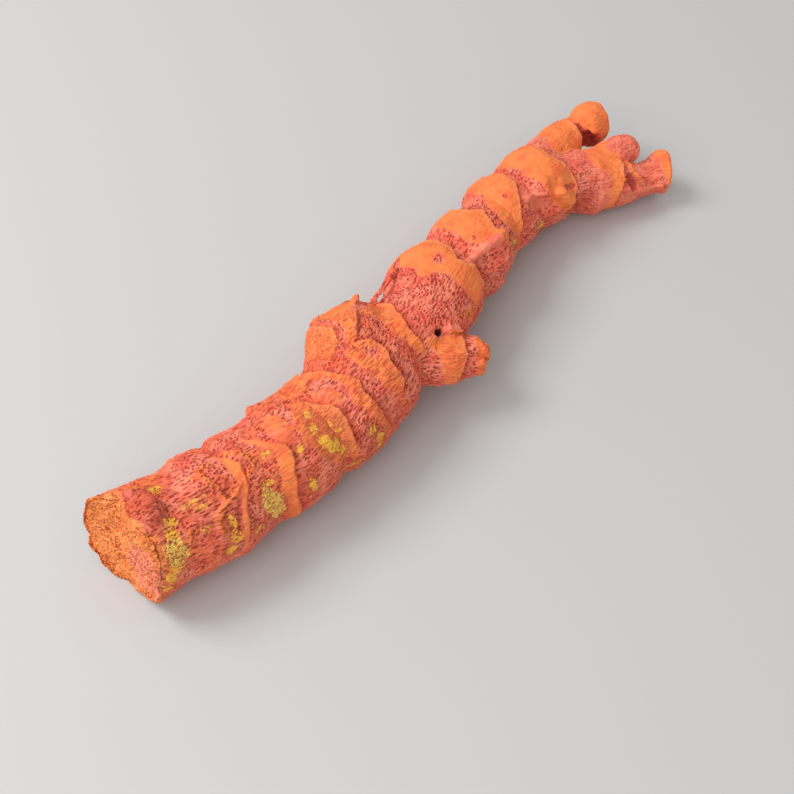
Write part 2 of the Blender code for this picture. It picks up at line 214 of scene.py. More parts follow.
# Orange collars on the stem, each an outline of x and angle, from the base to the fork.
STEM_COLLARS = [
    [(-43.5, 12), (-42.5, 6), (-42, -4), (-41.5, -13), (-42, -27), (-43, -39), (-44.5, -55), (-46, -81),
     (-46.8, -100), (-47.2, -78), (-46.5, -62), (-44.5, -45), (-44, -33), (-43.5, -23), (-43.2, -11)],
    [(-39, 14), (-37.5, 4), (-36.5, -8), (-35.5, -16), (-34.5, -22), (-34.5, -31), (-35.5, -44), (-36, -56),
     (-36.8, -69), (-36.8, -96), (-36.8, -118), (-37.6, -140), (-38.4, -115), (-38.5, -82), (-38.5, -62),
     (-38, -51), (-37.5, -38), (-37, -26), (-36.5, -20), (-37.6, -8)],
    [(-28.2, 14), (-27.5, -1), (-26.5, -12), (-25, -22), (-24.5, -31), (-25, -51), (-25, -77), (-26, -84),
     (-27.5, -78), (-29, -74), (-30.5, -63), (-31.5, -49), (-32.2, -33), (-32.2, -18), (-31.5, -6), (-29.8, 8)],
    [(-30, 35), (-31, 50), (-31.2, 80), (-29, 110), (-26, 118), (-24, 90), (-23.5, 60), (-24, 42), (-22.5, 26),
     (-21.5, 12), (-21, -2), (-20, -14), (-19.4, -23), (-19.8, -34), (-19.5, -53), (-19, -63), (-18.8, -78),
     (-18.4, -96), (-19.5, -110), (-20, -82), (-20.6, -62), (-21.5, -46), (-22.5, -37), (-22, -26),
     (-21.5, -17), (-22.2, -5), (-23, 10), (-24.4, 20), (-26.8, 14), (-29, 19)],
    [(-21.5, 45), (-21.8, 80), (-20.4, 112), (-18.5, 105), (-17.4, 66), (-17.2, 39), (-16.8, 26), (-17.6, 17),
     (-19, 15), (-20.2, 15), (-21, 27)],
    [(-16.9, 60), (-17.4, 90), (-15.5, 120), (-12, 118), (-9.3, 90), (-9, 46), (-9.6, 32), (-10.2, 27),
     (-11, 25), (-12.5, 21), (-14, 13), (-15.4, 7), (-16.6, 5), (-17, 10), (-16.1, 17), (-15.6, 23),
     (-16.4, 33)],
    [(-18.2, 8), (-15.5, 4), (-13.6, -3), (-13, -15), (-12.8, -24), (-13.4, -34), (-13.4, -43), (-13, -56),
     (-14, -64), (-15, -80), (-15.6, -62), (-16.5, -47), (-17.2, -35), (-17.6, -23), (-18.1, -12)],
    [(-10.2, 30), (-10.4, 60), (-9.8, 88), (-8, 100), (-6.8, 84), (-6.3, 55), (-6, 32), (-5.5, 12),
     (-6.3, -3), (-6.8, -22), (-6.8, -38), (-6.4, -52), (-6.4, -66), (-7.5, -57), (-8.5, -41), (-9.1, -26),
     (-9.6, -11), (-9.7, 3), (-10.2, 13), (-12, 21)],
    [(1.5, 34), (0.6, 60), (1.4, 96), (4, 122), (7.4, 112), (9.2, 70), (10, 38), (10.2, 14), (10, -7),
     (8.2, -22), (9.6, -36), (11.6, -55), (10.8, -66), (8.5, -70), (6.6, -74), (6, -58), (5.5, -45),
     (5, -33), (4.5, -22), (3.4, -11), (1.2, 2), (1.6, 17)],
    [(13, 16), (13.2, 60), (13.8, 92), (15.5, 118), (17.2, 100), (17.8, 60), (17.8, 30), (18.6, 12),
     (20.4, -4), (19.6, -22), (19, -32), (20, -44), (20.2, -54), (19.6, -66), (18.5, -47), (17.9, -38),
     (16.5, -36), (14.6, -32), (13.5, -22), (13, -4)],
    [(24, 48), (24.8, 80), (26.4, 114), (28.4, 120), (29, 85), (29.2, 34), (29.6, 8), (29.6, -10),
     (29, -22), (27.6, -34), (26.5, -50), (25.5, -65), (24.4, -80), (23, -60), (22, -45), (22, -27),
     (22, -10), (23.4, 8), (24, 20)],
    [(32.4, 37), (33.6, 75), (36, 112), (39.5, 108), (40.6, 64), (40.6, 30), (39.2, -1), (40, -15),
     (41, -34), (41.2, -52), (40.6, -68), (40, -78), (38.6, -98), (37, -92), (35, -77), (34, -57),
     (33.6, -37), (33, -19), (33, 2), (33, 20)],
]
# Short orange streaks on the stem that lie flush, and speckled patches of it.
STEM_STREAKS = [
    [(-34.4, 16), (-33, 15), (-32.4, 4), (-33, -11), (-33.6, -14), (-34, 1)],
    [(-53.5, -47), (-52, -46), (-53.4, -59), (-55, -74), (-54.6, -62)],
    [(2, -63), (3.5, -75), (5, -88), (7, -84), (8.6, -76), (6.5, -70), (5.5, -74), (4, -68)],
    [(-60.5, 70), (-58.5, 57), (-56.5, 41), (-54, 27), (-50.5, 42), (-52, 16), (-55.5, 6), (-57.5, 16),
     (-59.2, 43)],
]
# Red islands inside the collars.
STEM_ISLANDS = [
    [(-15.6, -1), (-14.5, -9), (-14, -18), (-15, -24), (-15.6, -14), (-16.2, -6)],
    [(5, 3), (6.5, -1), (6.6, -11), (5.5, -14), (4.4, -4)],
    [(14.4, -17), (15.1, -20), (14.6, -26), (13.9, -21)],
    [(26, -9), (26.6, -14), (26, -19), (25.4, -13)],
]
# Collars on the limbs: outlines of the distance along the limb and the angle round it.
LIMB_COLLARS = {
    "left_tip": [
        [(10, 55), (13.5, 31), (16.5, 39), (17, 7), (16.5, -24), (16, -63), (15, -100), (12, -96),
         (9, -70), (7, -54), (5.5, -50), (6.5, -37), (7, -19), (9, 8)],
        [(13, 60), (16.4, 60), (16.2, 110), (14.8, 150), (12.5, 140), (11.5, 95), (11, 55), (13.4, 30)],
        [(18.2, 230), (18.6, 100), (17.3, 60), (16.8, 14), (17.0, -8), (17.7, -34), (18.4, -62), (19.5, -84),
         (21.2, -112), (21.4, -125), (20.5, -150), (18.2, -230), (32, -230), (32, 230)],
    ],
    "right_tip": [
        [(11, 15), (12, 19), (14, 40), (16, 34), (17.4, 15), (17.6, -11), (17.6, -42), (17.5, -61), (16.6, -85),
         (16.4, -132), (15.6, -160), (15, -120), (15.4, -73), (15.4, -49), (14.5, -32), (12, -27), (10.5, -19),
         (10, 0)],
        [(26.2, 230), (26.2, 90), (26.5, 61), (26.3, 22), (26.1, -6), (25.8, -30), (25.8, -64), (25.9, -90),
         (26.0, -122), (26.2, -230), (40, -230), (40, 230)],
    ],
    "rear_knob": [
        [(1, 230), (7.6, 230), (8.2, 60), (7.4, 14), (6.6, 0), (7.1, -36), (7.8, -80), (7.8, -230), (1, -230)],
    ],
    "side_stub": [
        [(5, -9), (7.6, 4), (8.6, 14), (9.6, 50), (10, 110), (10, 170), (12, 180), (12, 120), (12, 59), (12, 25),
         (12, -9), (12, -38), (11.2, -57), (10.6, -80), (10.4, -120), (9.4, -128), (8.8, -98), (8.3, -63),
         (8, -40), (7, -25)],
        [(13.4, 230), (13.2, 59), (13.2, 25), (13.4, 5), (13.9, -6), (14.3, -49), (15.0, -84), (15.0, -230),
         (25, -230), (25, 230)],
    ],
}
LIMB_START = {"left_tip": 4.5, "right_tip": 8.5, "rear_knob": 1.0, "side_stub": 4.0}
KNOB_START = 7.0

# Collars on the far side and underneath: x, angle, half its length in degrees, and its width.
FAR_COLLARS = [
    (-54.5, 150, 52, 2.6),
    (-47.5, 112, 58, 2.8),
    (-41.0, 172, 60, 2.4),
    (-35.5, 118, 44, 3.0),
    (-24.5, 188, 50, 2.8),
    (-16.0, 200, 52, 2.6),
    (-6.0, 178, 56, 2.8),
    (3.5, 205, 50, 2.6),
    (10.5, 175, 48, 2.2),
    (17.0, 214, 50, 2.6),
    (22.0, 160, 52, 2.4),
    (30.5, 200, 56, 2.8),
    (37.0, 168, 44, 2.4),
]
# Ribs, hollows and veins on the stem, each along a line of x and angle: its height, half its width, and
# the kind of skin there. Smooth skin has closed pores, and dusky skin is half as dark as dark skin. The dark
# kinds paint a deeper red, partly the skin's own colour and partly painted shade in the hollows they line.
STEM_RELIEF = [
    ([(10.4, -38), (13.5, -39), (16.3, -42), (18.2, -45)], 0.8, 1.25, "smooth"),
    ([(12.5, -54), (17.0, -57)], -0.5, 2.0, "porous"),
    ([(14.0, -70), (19.0, -72)], 0.4, 1.6, "porous"),
    ([(19.6, -44), (20.6, -50)], 0.5, 1.0, "orange"),
    ([(30.4, -60), (33.4, -74)], -0.9, 2.7, "porous"),
    ([(29.8, -32), (31.0, -48), (32.5, -66)], -0.2, 2.4, "smooth"),
    ([(31.0, -84), (35.0, -86)], 0.5, 1.5, "porous"),
    ([(28.8, -40), (32.5, -50), (35.5, -57)], 0.4, 0.9, "porous"),
    ([(36.4, -62), (37.4, -74)], 1.5, 1.6, "orange"),
    ([(38.0, -56), (39.8, -62)], -0.6, 0.7, "red"),
    ([(-56.4, 3), (-55.9, -12)], 0.9, 2.5, "dusky"),
    ([(-58.2, 2), (-58.2, -16), (-57.2, -28)], 0.4, 0.6, "smooth"),
    ([(-0.8, -68), (0.6, -75)], 0.8, 1.4, "smooth"),
    ([(-46.8, 2), (-46.9, -10), (-46.5, -20), (-46.4, -29), (-46.2, -38), (-48.1, -45), (-49.0, -50),
      (-49.1, -62)], 0.45, 0.55, "orange"),
    ([(-43.5, -28), (-44.6, -34), (-45.8, -38)], 0.4, 0.5, "orange"),
    ([(-45.0, -43), (-45.7, -51), (-46.8, -69)], -0.35, 0.6, "dusky"),
    ([(-44.4, -20), (-45.2, -28)], -0.3, 0.6, "dusky"),
    ([(-42.4, 10), (-40.0, -4), (-39.5, -16), (-41.0, -24), (-43.1, -31)], 0.25, 0.6, "orange"),
    ([(-45.3, 8), (-47.2, -2), (-48.2, -1)], 0.2, 0.5, "orange"),
    ([(-53.1, -48), (-53.7, -59), (-53.3, -69)], 0.25, 0.5, "orange"),
    ([(-35.2, 12), (-33.4, 0), (-33.2, -14)], 0.2, 0.6, "orange"),
]
LIMB_RELIEF = {
    "left_tip": [
        ([(16.6, 14), (16.7, -10)], -0.4, 0.4, "red"),
        # The recess under the left tip's cap: its dark rows are painted shade over the skin's own deeper red.
        ([(16.9, -20), (17.2, -46)], -0.7, 0.8, "dark"),
        ([(17.5, -62), (18.0, -86)], -1.1, 1.5, "dark"),
        ([(18.3, -92), (18.8, -120)], -1.5, 2.3, "dark"),
        ([(21.6, 60), (21.8, 30)], 0.3, 1.6, "orange"),
    ],
    "right_tip": [
        ([(18.0, 12), (18.8, -8), (19.2, -24), (20.6, -50)], 0.6, 0.6, "orange"),
        ([(17.9, -66), (21.5, -80), (24.6, -84)], 0.5, 0.9, "smooth"),
        ([(18.4, -34), (18.7, -48), (18.9, -64)], -0.7, 0.8, "dark"),
        ([(20.2, -14), (23.6, -40)], -0.4, 1.7, "smooth"),
        ([(13.0, -45), (14.5, -90)], 0.3, 2.6, "smooth"),
        ([(7.6, -125), (7.8, -95)], -2.3, 2.7, "porous"),
        ([(12.6, -118), (13.2, -95)], 0.5, 2.4, "smooth"),
    ],
    "side_stub": [
        ([(14.4, -24), (16.0, -28)], -0.6, 0.8, "porous"),
        ([(14.6, 44), (16.0, 40)], -0.5, 0.9, "porous"),
        ([(14.2, -80), (16.0, -86)], -0.7, 1.0, "porous"),
        ([(14.8, 8), (15.2, -2)], 0.5, 0.9, "porous"),
        ([(14.9, -52), (15.2, -60)], 0.5, 0.9, "porous"),
    ],
}
# How far a degree reaches round a limb, as ARC says it for the stem.
LIMB_ARC = math.radians(1.0) * 4.2
# The ribs and hollows of a limb start this far along it.
MOULD_START = 3.0
# Speckled half red and half orange.
STEM_SPECKLES = [
    [(-29.3, -13), (-26.9, -20), (-26.1, -42), (-26.5, -60), (-27.6, -62), (-29.3, -48), (-30.1, -29)],
    [(-33.7, 21), (-32.4, 9), (-31.9, -9), (-32.9, -23), (-34.6, -24), (-35.9, -7), (-35.6, 14)],
    [(-26.4, 12), (-24.0, 0), (-22.6, -14), (-22.6, -26), (-24.4, -28), (-26.9, -8)],
]
# How far the broken face reaches: angle and x.
BREAK_RIM = [(-180, -60.6), (-119, -60.7), (-93, -59.6), (-73, -58.2), (-52, -57.0), (-36, -56.7), (-28, -57.6),
             (-4, -57.9), (9, -56.9), (28, -56.6), (42, -57.5), (51, -58.5), (75, -59.3), (101, -60.1),
             (130, -60.8), (180, -60.6)]
RIM_SLOPE = 0.3
# How high a collar starts, as a share of its rise, and how far the skin is drawn in past it.
START_RISE = 0.3
DRAWN_IN = 0.6
DRAWN_LENGTH = 1.7
LEAD_LENGTH = 2.0
STEP_WIDTH = 0.3
# A collar this wide rises in full. A distance past NOT_LEVEL means that no edge lies level with the point.
FULL_WIDTH = 2.2
NOT_LEVEL = 50
FAR_BULGE = 2.4
FAR_STEPS = 6

# Yellow crust: x, angle, length along the stem and width round it.
YELLOW = [
    (-52.9, 7, 1.0, 1.0),
    (-54.4, -33, 1.2, 0.9),
    (-55.3, -45, 1.2, 1.6),
    (-55.9, -60, 1.8, 2.2, 1),
    (-56.9, -74, 1.3, 1.6),
    (-58.2, -86, 0.9, 1.5),
    (-59.2, -97, 0.8, 1.0),
    (-50.4, -24, 2.4, 0.5),
    (-49.6, -31, 1.7, 0.4),
    (-51.3, -52, 1.1, 0.5),
    (-47.4, -58, 0.8, 1.3),
    (-47.8, -74, 0.9, 1.3),
    (-49.0, -90, 1.0, 1.1),
    (-44.2, -85, 0.6, 0.7),
    (-39.8, -45, 1.3, 0.7),
    (-40.8, -54, 1.2, 1.4, 1),
    (-40.6, -67, 1.9, 1.9, 1),
    (-40.2, -82, 1.4, 1.3, 1),
    (-37.9, -19, 1.1, 0.5),
    (-33.4, -33, 0.9, 0.6),
    (-34.2, -73, 0.9, 1.6),
    (-29.4, -13, 0.7, 0.7),
    (-30.0, -27, 0.8, 1.0),
    (-29.8, -42, 1.1, 1.0),
    (-28.8, -53, 1.5, 1.2),
    (-27.6, -63, 0.9, 0.9),
    (-27.3, -33, 0.8, 0.7),
    (-26.8, -44, 0.7, 0.5),
    (-22.0, -69, 0.9, 0.8),
    (-21.1, -83, 1.1, 1.0),
    (-21.2, -94, 0.9, 0.8),
    (-25.7, -101, 2.2, 0.6),
    (22.3, -70, 0.9, 1.1),
    (30.6, -88, 0.9, 0.8),
    (-33.0, 130, 1.5, 1.3),
    (-50.0, 160, 2.0, 1.2),
    (-12.0, 165, 1.4, 1.1),
    (8.0, 140, 1.1, 0.9),
]
# How far a degree reaches round the stem.
ARC = math.radians(1.0) * 8.3

# Planes that part the skin: a point and a direction.
CUTS = {
    "stem": ((6.6, 1.9, 9.3), (0.93, 0.35, -0.1)),
    "side_stub": ((-2.4, -9.9, 8.6), (0.22, -0.975, 0.0)),
    "left_tip": ((52.4, 12.4, 8.1), (0.98, -0.05, 0.12)),
    "right_tip": ((50.6, 2.4, 5.7), (0.92, -0.38, -0.08)),
}
TIPS_APART_Y = 8.0
# The side stub lies between these x, and below this y.
STUB_SPAN = (-8.0, 6.0)
STUB_SIDE_Y = -9.0
# Where the skin of the stem is parted again, so that no piece has too many facets.
BASE_END = -41.0
MIDDLE_END = -16.8
FORK_START = 29.4

# The camera, as the branch is seen from above its front side.
VIEW_AIM = Vector((-8.4, -5.5, 0.0))
VIEW_BACK = Vector((-0.414, -0.437, 0.799))
VIEW_DISTANCE = 200.0
VIEW_ANGLE = 36.0


def values_at(rows, x):
    """The values of the rows at x, on a smooth curve through them."""
    i = bisect.bisect_right([row[0] for row in rows], x) - 1
    i = max(0, min(len(rows) - 2, i))
    before, low, high = rows[max(i - 1, 0)], rows[i], rows[i + 1]
    after = rows[min(i + 2, len(rows) - 1)]
    span = high[0] - low[0]
    t = min(max((x - low[0]) / span, 0.0), 1.0)
    values = []
    for k in range(1, len(low)):
        leave = (high[k] - before[k]) / (high[0] - before[0]) * span
        reach = (after[k] - low[k]) / (after[0] - low[0]) * span
        values.append(
            (2 * t**3 - 3 * t**2 + 1) * low[k]
            + (t**3 - 2 * t**2 + t) * leave
            + (3 * t**2 - 2 * t**3) * high[k]
            + (t**3 - t**2) * reach
        )
    return values


def turn_between(a, b):
    """The angle from b to a in degrees, between -180 and 180."""
    return (a - b + 180.0) % 360.0 - 180.0


def frame_of(tangent):
    """Left and up, square to the tangent."""
    left = Vector((-tangent.y, tangent.x, 0.0)).normalized()
    return left, tangent.cross(left).normalized()


def lump_height(x, angle):
    total = 0.0
    for place, side, height, back, ahead, half in LUMPS:
        reach = back if x < place else ahead
        away = math.hypot((x - place) / reach, turn_between(angle, side) / half)
        if away < 1.0:
            total += height * (1.0 - away**2) ** 1.5
    return total


def break_shift(share, angle):
    """How far the broken face stands towards the tips, at a share of the radius."""
    lean = BREAK_LEAN * math.cos(math.radians(angle - BREAK_FRONT))
    aside = turn_between(angle, BREAK_LIP_SIDE) / BREAK_LIP_HALF
    lip = BREAK_LIP * share**2 * max(0.0, 1.0 - aside**2)
    turn = math.radians(angle)
    place = Vector((math.cos(turn), math.sin(turn), 0.0)) * (share * BREAK_REACH)
    return share * lean - lip + BREAK_ROUGHNESS * noise.noise(place / BREAK_PITCH)


def angles(count):
    return [360.0 * i / count for i in range(count)]


def stem_ring(x, share=1.0, broken=0.0):
    """A ring of the stem at a share of its radius, shifted by a share of the broken face's shape."""
    y, z, wide_left, wide_right = values_at(STEM, x)
    ahead, behind = values_at(STEM, x + 0.5), values_at(STEM, x - 0.5)
    tangent = Vector((1.0, ahead[0] - behind[0], ahead[1] - behind[1])).normalized()
    left, up = frame_of(tangent)
    ring = []
    for angle in angles(STEM_POINTS):
        turn = math.radians(angle)
        side = math.cos(math.radians(angle - LEFT_SIDE))
        place = Vector((x, GRAIN_REACH * math.cos(turn), GRAIN_REACH * math.sin(turn)))
        radius = (wide_left + wide_right) / 2 + (wide_left - wide_right) / 2 * side
        radius += GRAIN * noise.noise(place / GRAIN_PITCH) + lump_height(x, angle) - SKIN_SINK
        out = left * math.sin(turn) + up * math.cos(turn)
        shift = broken * break_shift(share, angle) if broken else 0.0
        ring.append(Vector((x, y, z)) + out * (radius * share) + tangent * shift)
    return ring


def add_loft(shape, rings):
    """A closed skin through the rings, with each end filled."""
    made = [[shape.verts.new(point * MM) for point in ring] for ring in rings]
    for near, far in zip(made, made[1:]):
        for i, start in enumerate(near):
            j = (i + 1) % len(near)
            shape.faces.new((start, far[i], far[j], near[j]))
    shape.faces.new(made[0])
    shape.faces.new(reversed(made[-1]))


def add_stem(shape):
    rings = [stem_ring(BREAK_X, share, 1.0) for share in reversed(BREAK_RINGS)]
    end = STEM[-1][0]
    steps = round((end - BREAK_X) / STEM_STEP)
    for i in range(steps + 1):
        x = BREAK_X + (end - BREAK_X) * i / steps
        rings.append(stem_ring(x, 1.0, max(0.0, 1.0 - (x - BREAK_X) / BREAK_FADE)))
    add_loft(shape, rings)


def limb_ring(centre, tangent, radius, flare, slant, side):
    left, up = frame_of(tangent)
    ring = []
    for turn in angles(LIMB_POINTS):
        out = left * math.sin(math.radians(turn)) + up * math.cos(math.radians(turn))
        grain = noise.noise((centre + out * radius) / LIMB_GRAIN_PITCH) * min(1.0, radius / 2.0)
        corner = flare * max(0.0, 1.0 - abs(turn_between(turn, FLARE_SIDE)) / FLARE_HALF)
        ahead = slant * math.cos(math.radians(turn - side)) * min(1.0, radius / 3.0)
        ring.append(centre + out * (radius + LIMB_GRAIN * grain + corner) + tangent * ahead)
    return ring


def add_limb(shape, rows, dome, flare, slant, side):
    """A tapering limb. Its end is rounded over a share of its radius, and may flare on its left."""
    numbered = [(float(i), *row) for i, row in enumerate(rows)]
    steps = LIMB_RINGS * (len(rows) - 1)
    samples = [values_at(numbered, i / LIMB_RINGS) for i in range(steps + 1)]
    rings = []
    for i, (x, y, z, radius) in enumerate(samples):
        ahead, behind = samples[min(i + 1, steps)], samples[max(i - 1, 0)]
        tangent = (Vector(ahead[:3]) - Vector(behind[:3])).normalized()
        spread = flare * max(0.0, 2.0 * i / steps - 1.0) ** 3
        lean = slant * max(0.0, 3.0 * i / steps - 2.0) ** 2
        rings.append(limb_ring(Vector((x, y, z)), tangent, radius, spread, lean, side))
    for turn in DOME_TURNS:
        end = Vector((x, y, z)) + tangent * (dome * radius * math.sin(math.radians(turn)))
        small = radius * (1.0 - dome + dome * math.cos(math.radians(turn)))
        rings.append(limb_ring(end, tangent, small, flare, slant, side))
    rough = END_GRAIN * (1.0 - dome)
    for share in END_RINGS:
        ring = limb_ring(end, tangent, small * share, flare * share, slant * share, side)
        rings.append([spot + tangent * (rough * noise.noise(spot / END_PITCH)) for spot in ring])
    add_loft(shape, rings)


def settle(item):
    """Replaces the object's mesh by what its modifiers make of it."""
    graph = bpy.context.evaluated_depsgraph_get()
    mesh = bpy.data.meshes.new_from_object(item.evaluated_get(graph))
    item.modifiers.clear()
    old = item.data
    item.data = mesh
    bpy.data.meshes.remove(old)


def new_object(name, mesh):
    made = bpy.data.objects.new(name, mesh)
    bpy.context.scene.collection.objects.link(made)
    return made


def grow_skin():
    """One skin over the stem and its limbs, of small even facets."""
    shape = bmesh.new()
    add_stem(shape)
    for name, rows in LIMBS.items():
        add_limb(shape, rows, *LIMB_ENDS.get(name, LIMB_END))
    bmesh.ops.recalc_face_normals(shape, faces=shape.faces[:])
    mesh = bpy.data.meshes.new("coral")
    shape.to_mesh(mesh)
    shape.free()
    coral = new_object("coral", mesh)
    skin = coral.modifiers.new("skin", "REMESH")
    skin.mode = "VOXEL"
    skin.voxel_size = SKIN_VOXEL * MM
    settle(coral)
    soften_forks(coral)
    return coral


def soften_forks(coral):
    """Rounds the skin where a limb leaves the stem or another limb."""
    gaps = surface_gaps(places_of(coral.data))
    near = np.zeros(len(coral.data.vertices), bool)
    for a, b, reach in FORKS:
        near |= (gaps[a] < reach) & (gaps[b] < reach) & (gaps[a] > -FORK_DEPTH) & (gaps[b] > -FORK_DEPTH)
    group = coral.vertex_groups.new(name="forks")
    group.add(np.nonzero(near)[0].tolist(), 1.0, "REPLACE")
    smooth = coral.modifiers.new("soften", "SMOOTH")
    smooth.vertex_group = "forks"
    smooth.factor = 0.5
    smooth.iterations = FORK_SMOOTHING
    settle(coral)
    coral.vertex_groups.clear()


def places_of(mesh):
    """The mesh's points in millimetres, in the branch's own axes."""
    flat = np.zeros(len(mesh.vertices) * 3, np.float32)
    mesh.vertices.foreach_get("co", flat)
    return flat.reshape(-1, 3).astype(float) / MM


def stem_growth(points):
    """x, left and up from the stem's axis, the angle round it, and how far a point stands off the skin."""
    xs = np.linspace(STEM[0][0], STEM[-1][0], 300)
    rows = np.array([values_at(STEM, x) for x in xs])
    x = points[:, 0]
    left = points[:, 1] - np.interp(x, xs, rows[:, 0])
    up = points[:, 2] - np.interp(x, xs, rows[:, 1])
    past = np.maximum(x - STEM[-1][0], 0.0)
    radius = np.interp(x, xs, (rows[:, 2] + rows[:, 3]) / 2)
    return x, left, up, np.degrees(np.arctan2(left, up)), np.hypot(np.hypot(left, up), past) - radius


def limb_growth(points, rows):
    """The same for a limb, with the distance along its axis in place of x."""
    numbered = [(float(i), *row) for i, row in enumerate(rows)]
    rows = np.array([values_at(numbered, i / AXIS_STEPS) for i in range(AXIS_STEPS * (len(rows) - 1) + 1)])
    best = [np.full(len(points), FAR_AWAY) for _ in range(5)]
    run = 0.0
    last = len(rows) - 2
    whole = rows[-1][:3] - rows[0][:3]
    left = np.array([-whole[1], whole[0], 0.0]) / math.hypot(whole[0], whole[1])
    up = np.cross(whole / np.linalg.norm(whole), left)
    for i, (near, far) in enumerate(zip(rows, rows[1:])):
        axis = far[:3] - near[:3]
        length = np.linalg.norm(axis)
        t = (points - near[:3]) @ axis / length**2
        t = np.clip(t, 0.0, 3.0 * AXIS_STEPS if i == last else 1.0)
        off = points - near[:3] - t[:, None] * axis
        away = np.linalg.norm(off, axis=1)
        gap = away - near[3] - np.minimum(t, 1.0) * (far[3] - near[3])
        closer = away < best[3]
        for k, value in enumerate((run + t * length, off @ left, off @ up, away)):
            best[k] = np.where(closer, value, best[k])
        best[4] = np.minimum(best[4], gap)
        run += length
    along, left, up, _, gap = best
    return along, left, up, np.degrees(np.arctan2(left, up)), gap


def surface_gaps(points):
    """How far each point stands off the stem's skin and each limb's."""
    gaps = {"stem": stem_growth(points)[4]}
    for name, rows in LIMBS.items():
        gaps[name] = limb_growth(points, rows)[4]
    return gaps


def outline_fields(along, turn, outline):
    """How far inside an outline each point lies, and the nearest and farthest of its edges ahead and behind."""
    centre = sum(angle for _, angle in outline) / len(outline)
    arc = turn_between(turn, centre) * ARC
    corners = [(x, (angle - centre) * ARC) for x, angle in outline]
    inside = np.zeros(len(along), bool)
    edge = np.full(len(along), FAR_AWAY)
    ahead, behind = edge.copy(), edge.copy()
    last_ahead, last_behind = np.zeros(len(along)), np.zeros(len(along))
    for (x1, a1), (x2, a2) in zip(corners, corners[1:] + corners[:1]):
        dx, da = x2 - x1, a2 - a1
        t = np.clip(((along - x1) * dx + (arc - a1) * da) / (dx * dx + da * da), 0.0, 1.0)
        edge = np.minimum(edge, np.hypot(along - x1 - t * dx, arc - a1 - t * da))
        if da:
            level = (a1 > arc) != (a2 > arc)
            gap = x1 + (arc - a1) / da * dx - along
            inside ^= level & (gap > 0)
            before, after = level & (gap > 0), level & (gap <= 0)
            ahead = np.where(before, np.minimum(ahead, gap), ahead)
            behind = np.where(after, np.minimum(behind, -gap), behind)
            last_ahead = np.where(before, np.maximum(last_ahead, gap), last_ahead)
            last_behind = np.where(after, np.maximum(last_behind, -gap), last_behind)
    return np.where(inside, edge, -edge), ahead, behind, last_ahead, last_behind


def ease(value, low, high):
    t = np.clip((value - low) / (high - low), 0.0, 1.0)
    return t * t * (3.0 - 2.0 * t)


def far_collar(x, angle, half, width):
    """An outline that is widest at its middle and bulges towards the tips."""
    lower, upper = [], []
    for i in range(-FAR_STEPS, FAR_STEPS + 1):
        share = i / FAR_STEPS
        swell = 1.0 - share**2
        lower.append((x + FAR_BULGE * swell - width * swell**0.5, angle + half * share))
        upper.append((x + FAR_BULGE * swell, angle + half * share))
    return lower + upper[::-1][1:-1]


def line_gap(along, turn, line, arc):
    """How far each point lies from a line drawn on the skin."""
    gap = np.full(len(along), FAR_AWAY)
    for (x1, a1), (x2, a2) in zip(line, line[1:]):
        dx, da = x2 - x1, (a2 - a1) * arc
        side = turn_between(turn, a1) * arc
        t = np.clip(((along - x1) * dx + side * da) / (dx * dx + da * da), 0.0, 1.0)
        gap = np.minimum(gap, np.hypot(along - x1 - t * dx, side - t * da))
    return gap


def mould(fields, where, along, turn, rows, arc):
    """Raises ribs and veins and sinks hollows along the lines that the rows give."""
    for line, height, half, kind in rows:
        gap = line_gap((along + wobble(along, turn * arc))[where], turn[where], line, arc)
        share = np.maximum(0.0, 1.0 - (gap / half) ** 2) ** 1.5
        fields["relief"][where] += height * share
        if kind in ("dark", "dusky"):
            # Dark and dusky skin is painted a deeper red: partly its own colour, partly painted shade in the hollows.
            shade = ease(share, 0.0, 0.3) * (1.0 if kind == "dark" else 0.45)
            fields["dark"][where] = np.maximum(fields["dark"][where], shade)
            fields["collar"][where] = np.minimum(fields["collar"][where], gap - 0.9 * half)
        if kind == "smooth":
            fields["closed"][where] = np.maximum(fields["closed"][where], ease(share, 0.0, 0.9))
        if kind == "orange":
            fields["streak"][where] = np.maximum(fields["streak"][where], 0.8 * half - gap)
        if kind == "red":
            fields["collar"][where] = np.minimum(fields["collar"][where], gap - 0.8 * half)


def wobble(x, arc):
    """A small even waviness that keeps a border from being smooth."""
    return (
        0.12 * np.sin(1.3 * arc + 2.0 * np.sin(0.9 * x))
        + 0.05 * np.sin(3.7 * arc - 1.3 * x)
        + 0.03 * np.sin(7.9 * arc + 4.1 * x)
    )


def paint_outlines(fields, where, along, turn, outlines):
    """Marks the collars that the outlines give. Each swells towards its edge at the tips' side and ends
    there in a step, past which the skin is drawn in."""
    x = (along + wobble(along, turn * ARC))[where]
    turn = turn[where]
    swell, drawn, lead = np.zeros(len(x)), np.zeros(len(x)), np.zeros(len(x))
    for outline in outlines:
        depth, ahead, behind, last_ahead, last_behind = outline_fields(x, turn, outline)
        fields["collar"][where] = np.maximum(fields["collar"][where], depth)
        inside = depth > 0
        width = ahead + behind
        share = behind / width
        top = (START_RISE + (1.0 - START_RISE) * share) * ease(ahead, 0.0, STEP_WIDTH) * ease(width, 0.0, FULL_WIDTH)
        swell = np.maximum(swell, np.where(inside, top, 0.0))
        past = ease(last_behind - behind, 0.0, FULL_WIDTH) * np.exp(-behind / DRAWN_LENGTH)
        drawn = np.maximum(drawn, np.where(inside | (behind > NOT_LEVEL), 0.0, past))
        short = ease(last_ahead - ahead, 0.0, FULL_WIDTH) * np.exp(-ahead / LEAD_LENGTH) * START_RISE
        lead = np.maximum(lead, np.where(inside | (ahead > NOT_LEVEL), 0.0, short))
    covered = fields["collar"][where] > 0
    height = np.where(covered, swell, lead - DRAWN_IN * drawn)
    fields["rise"][where] = np.where(fields["rise"][where] > 0, fields["rise"][where], height)


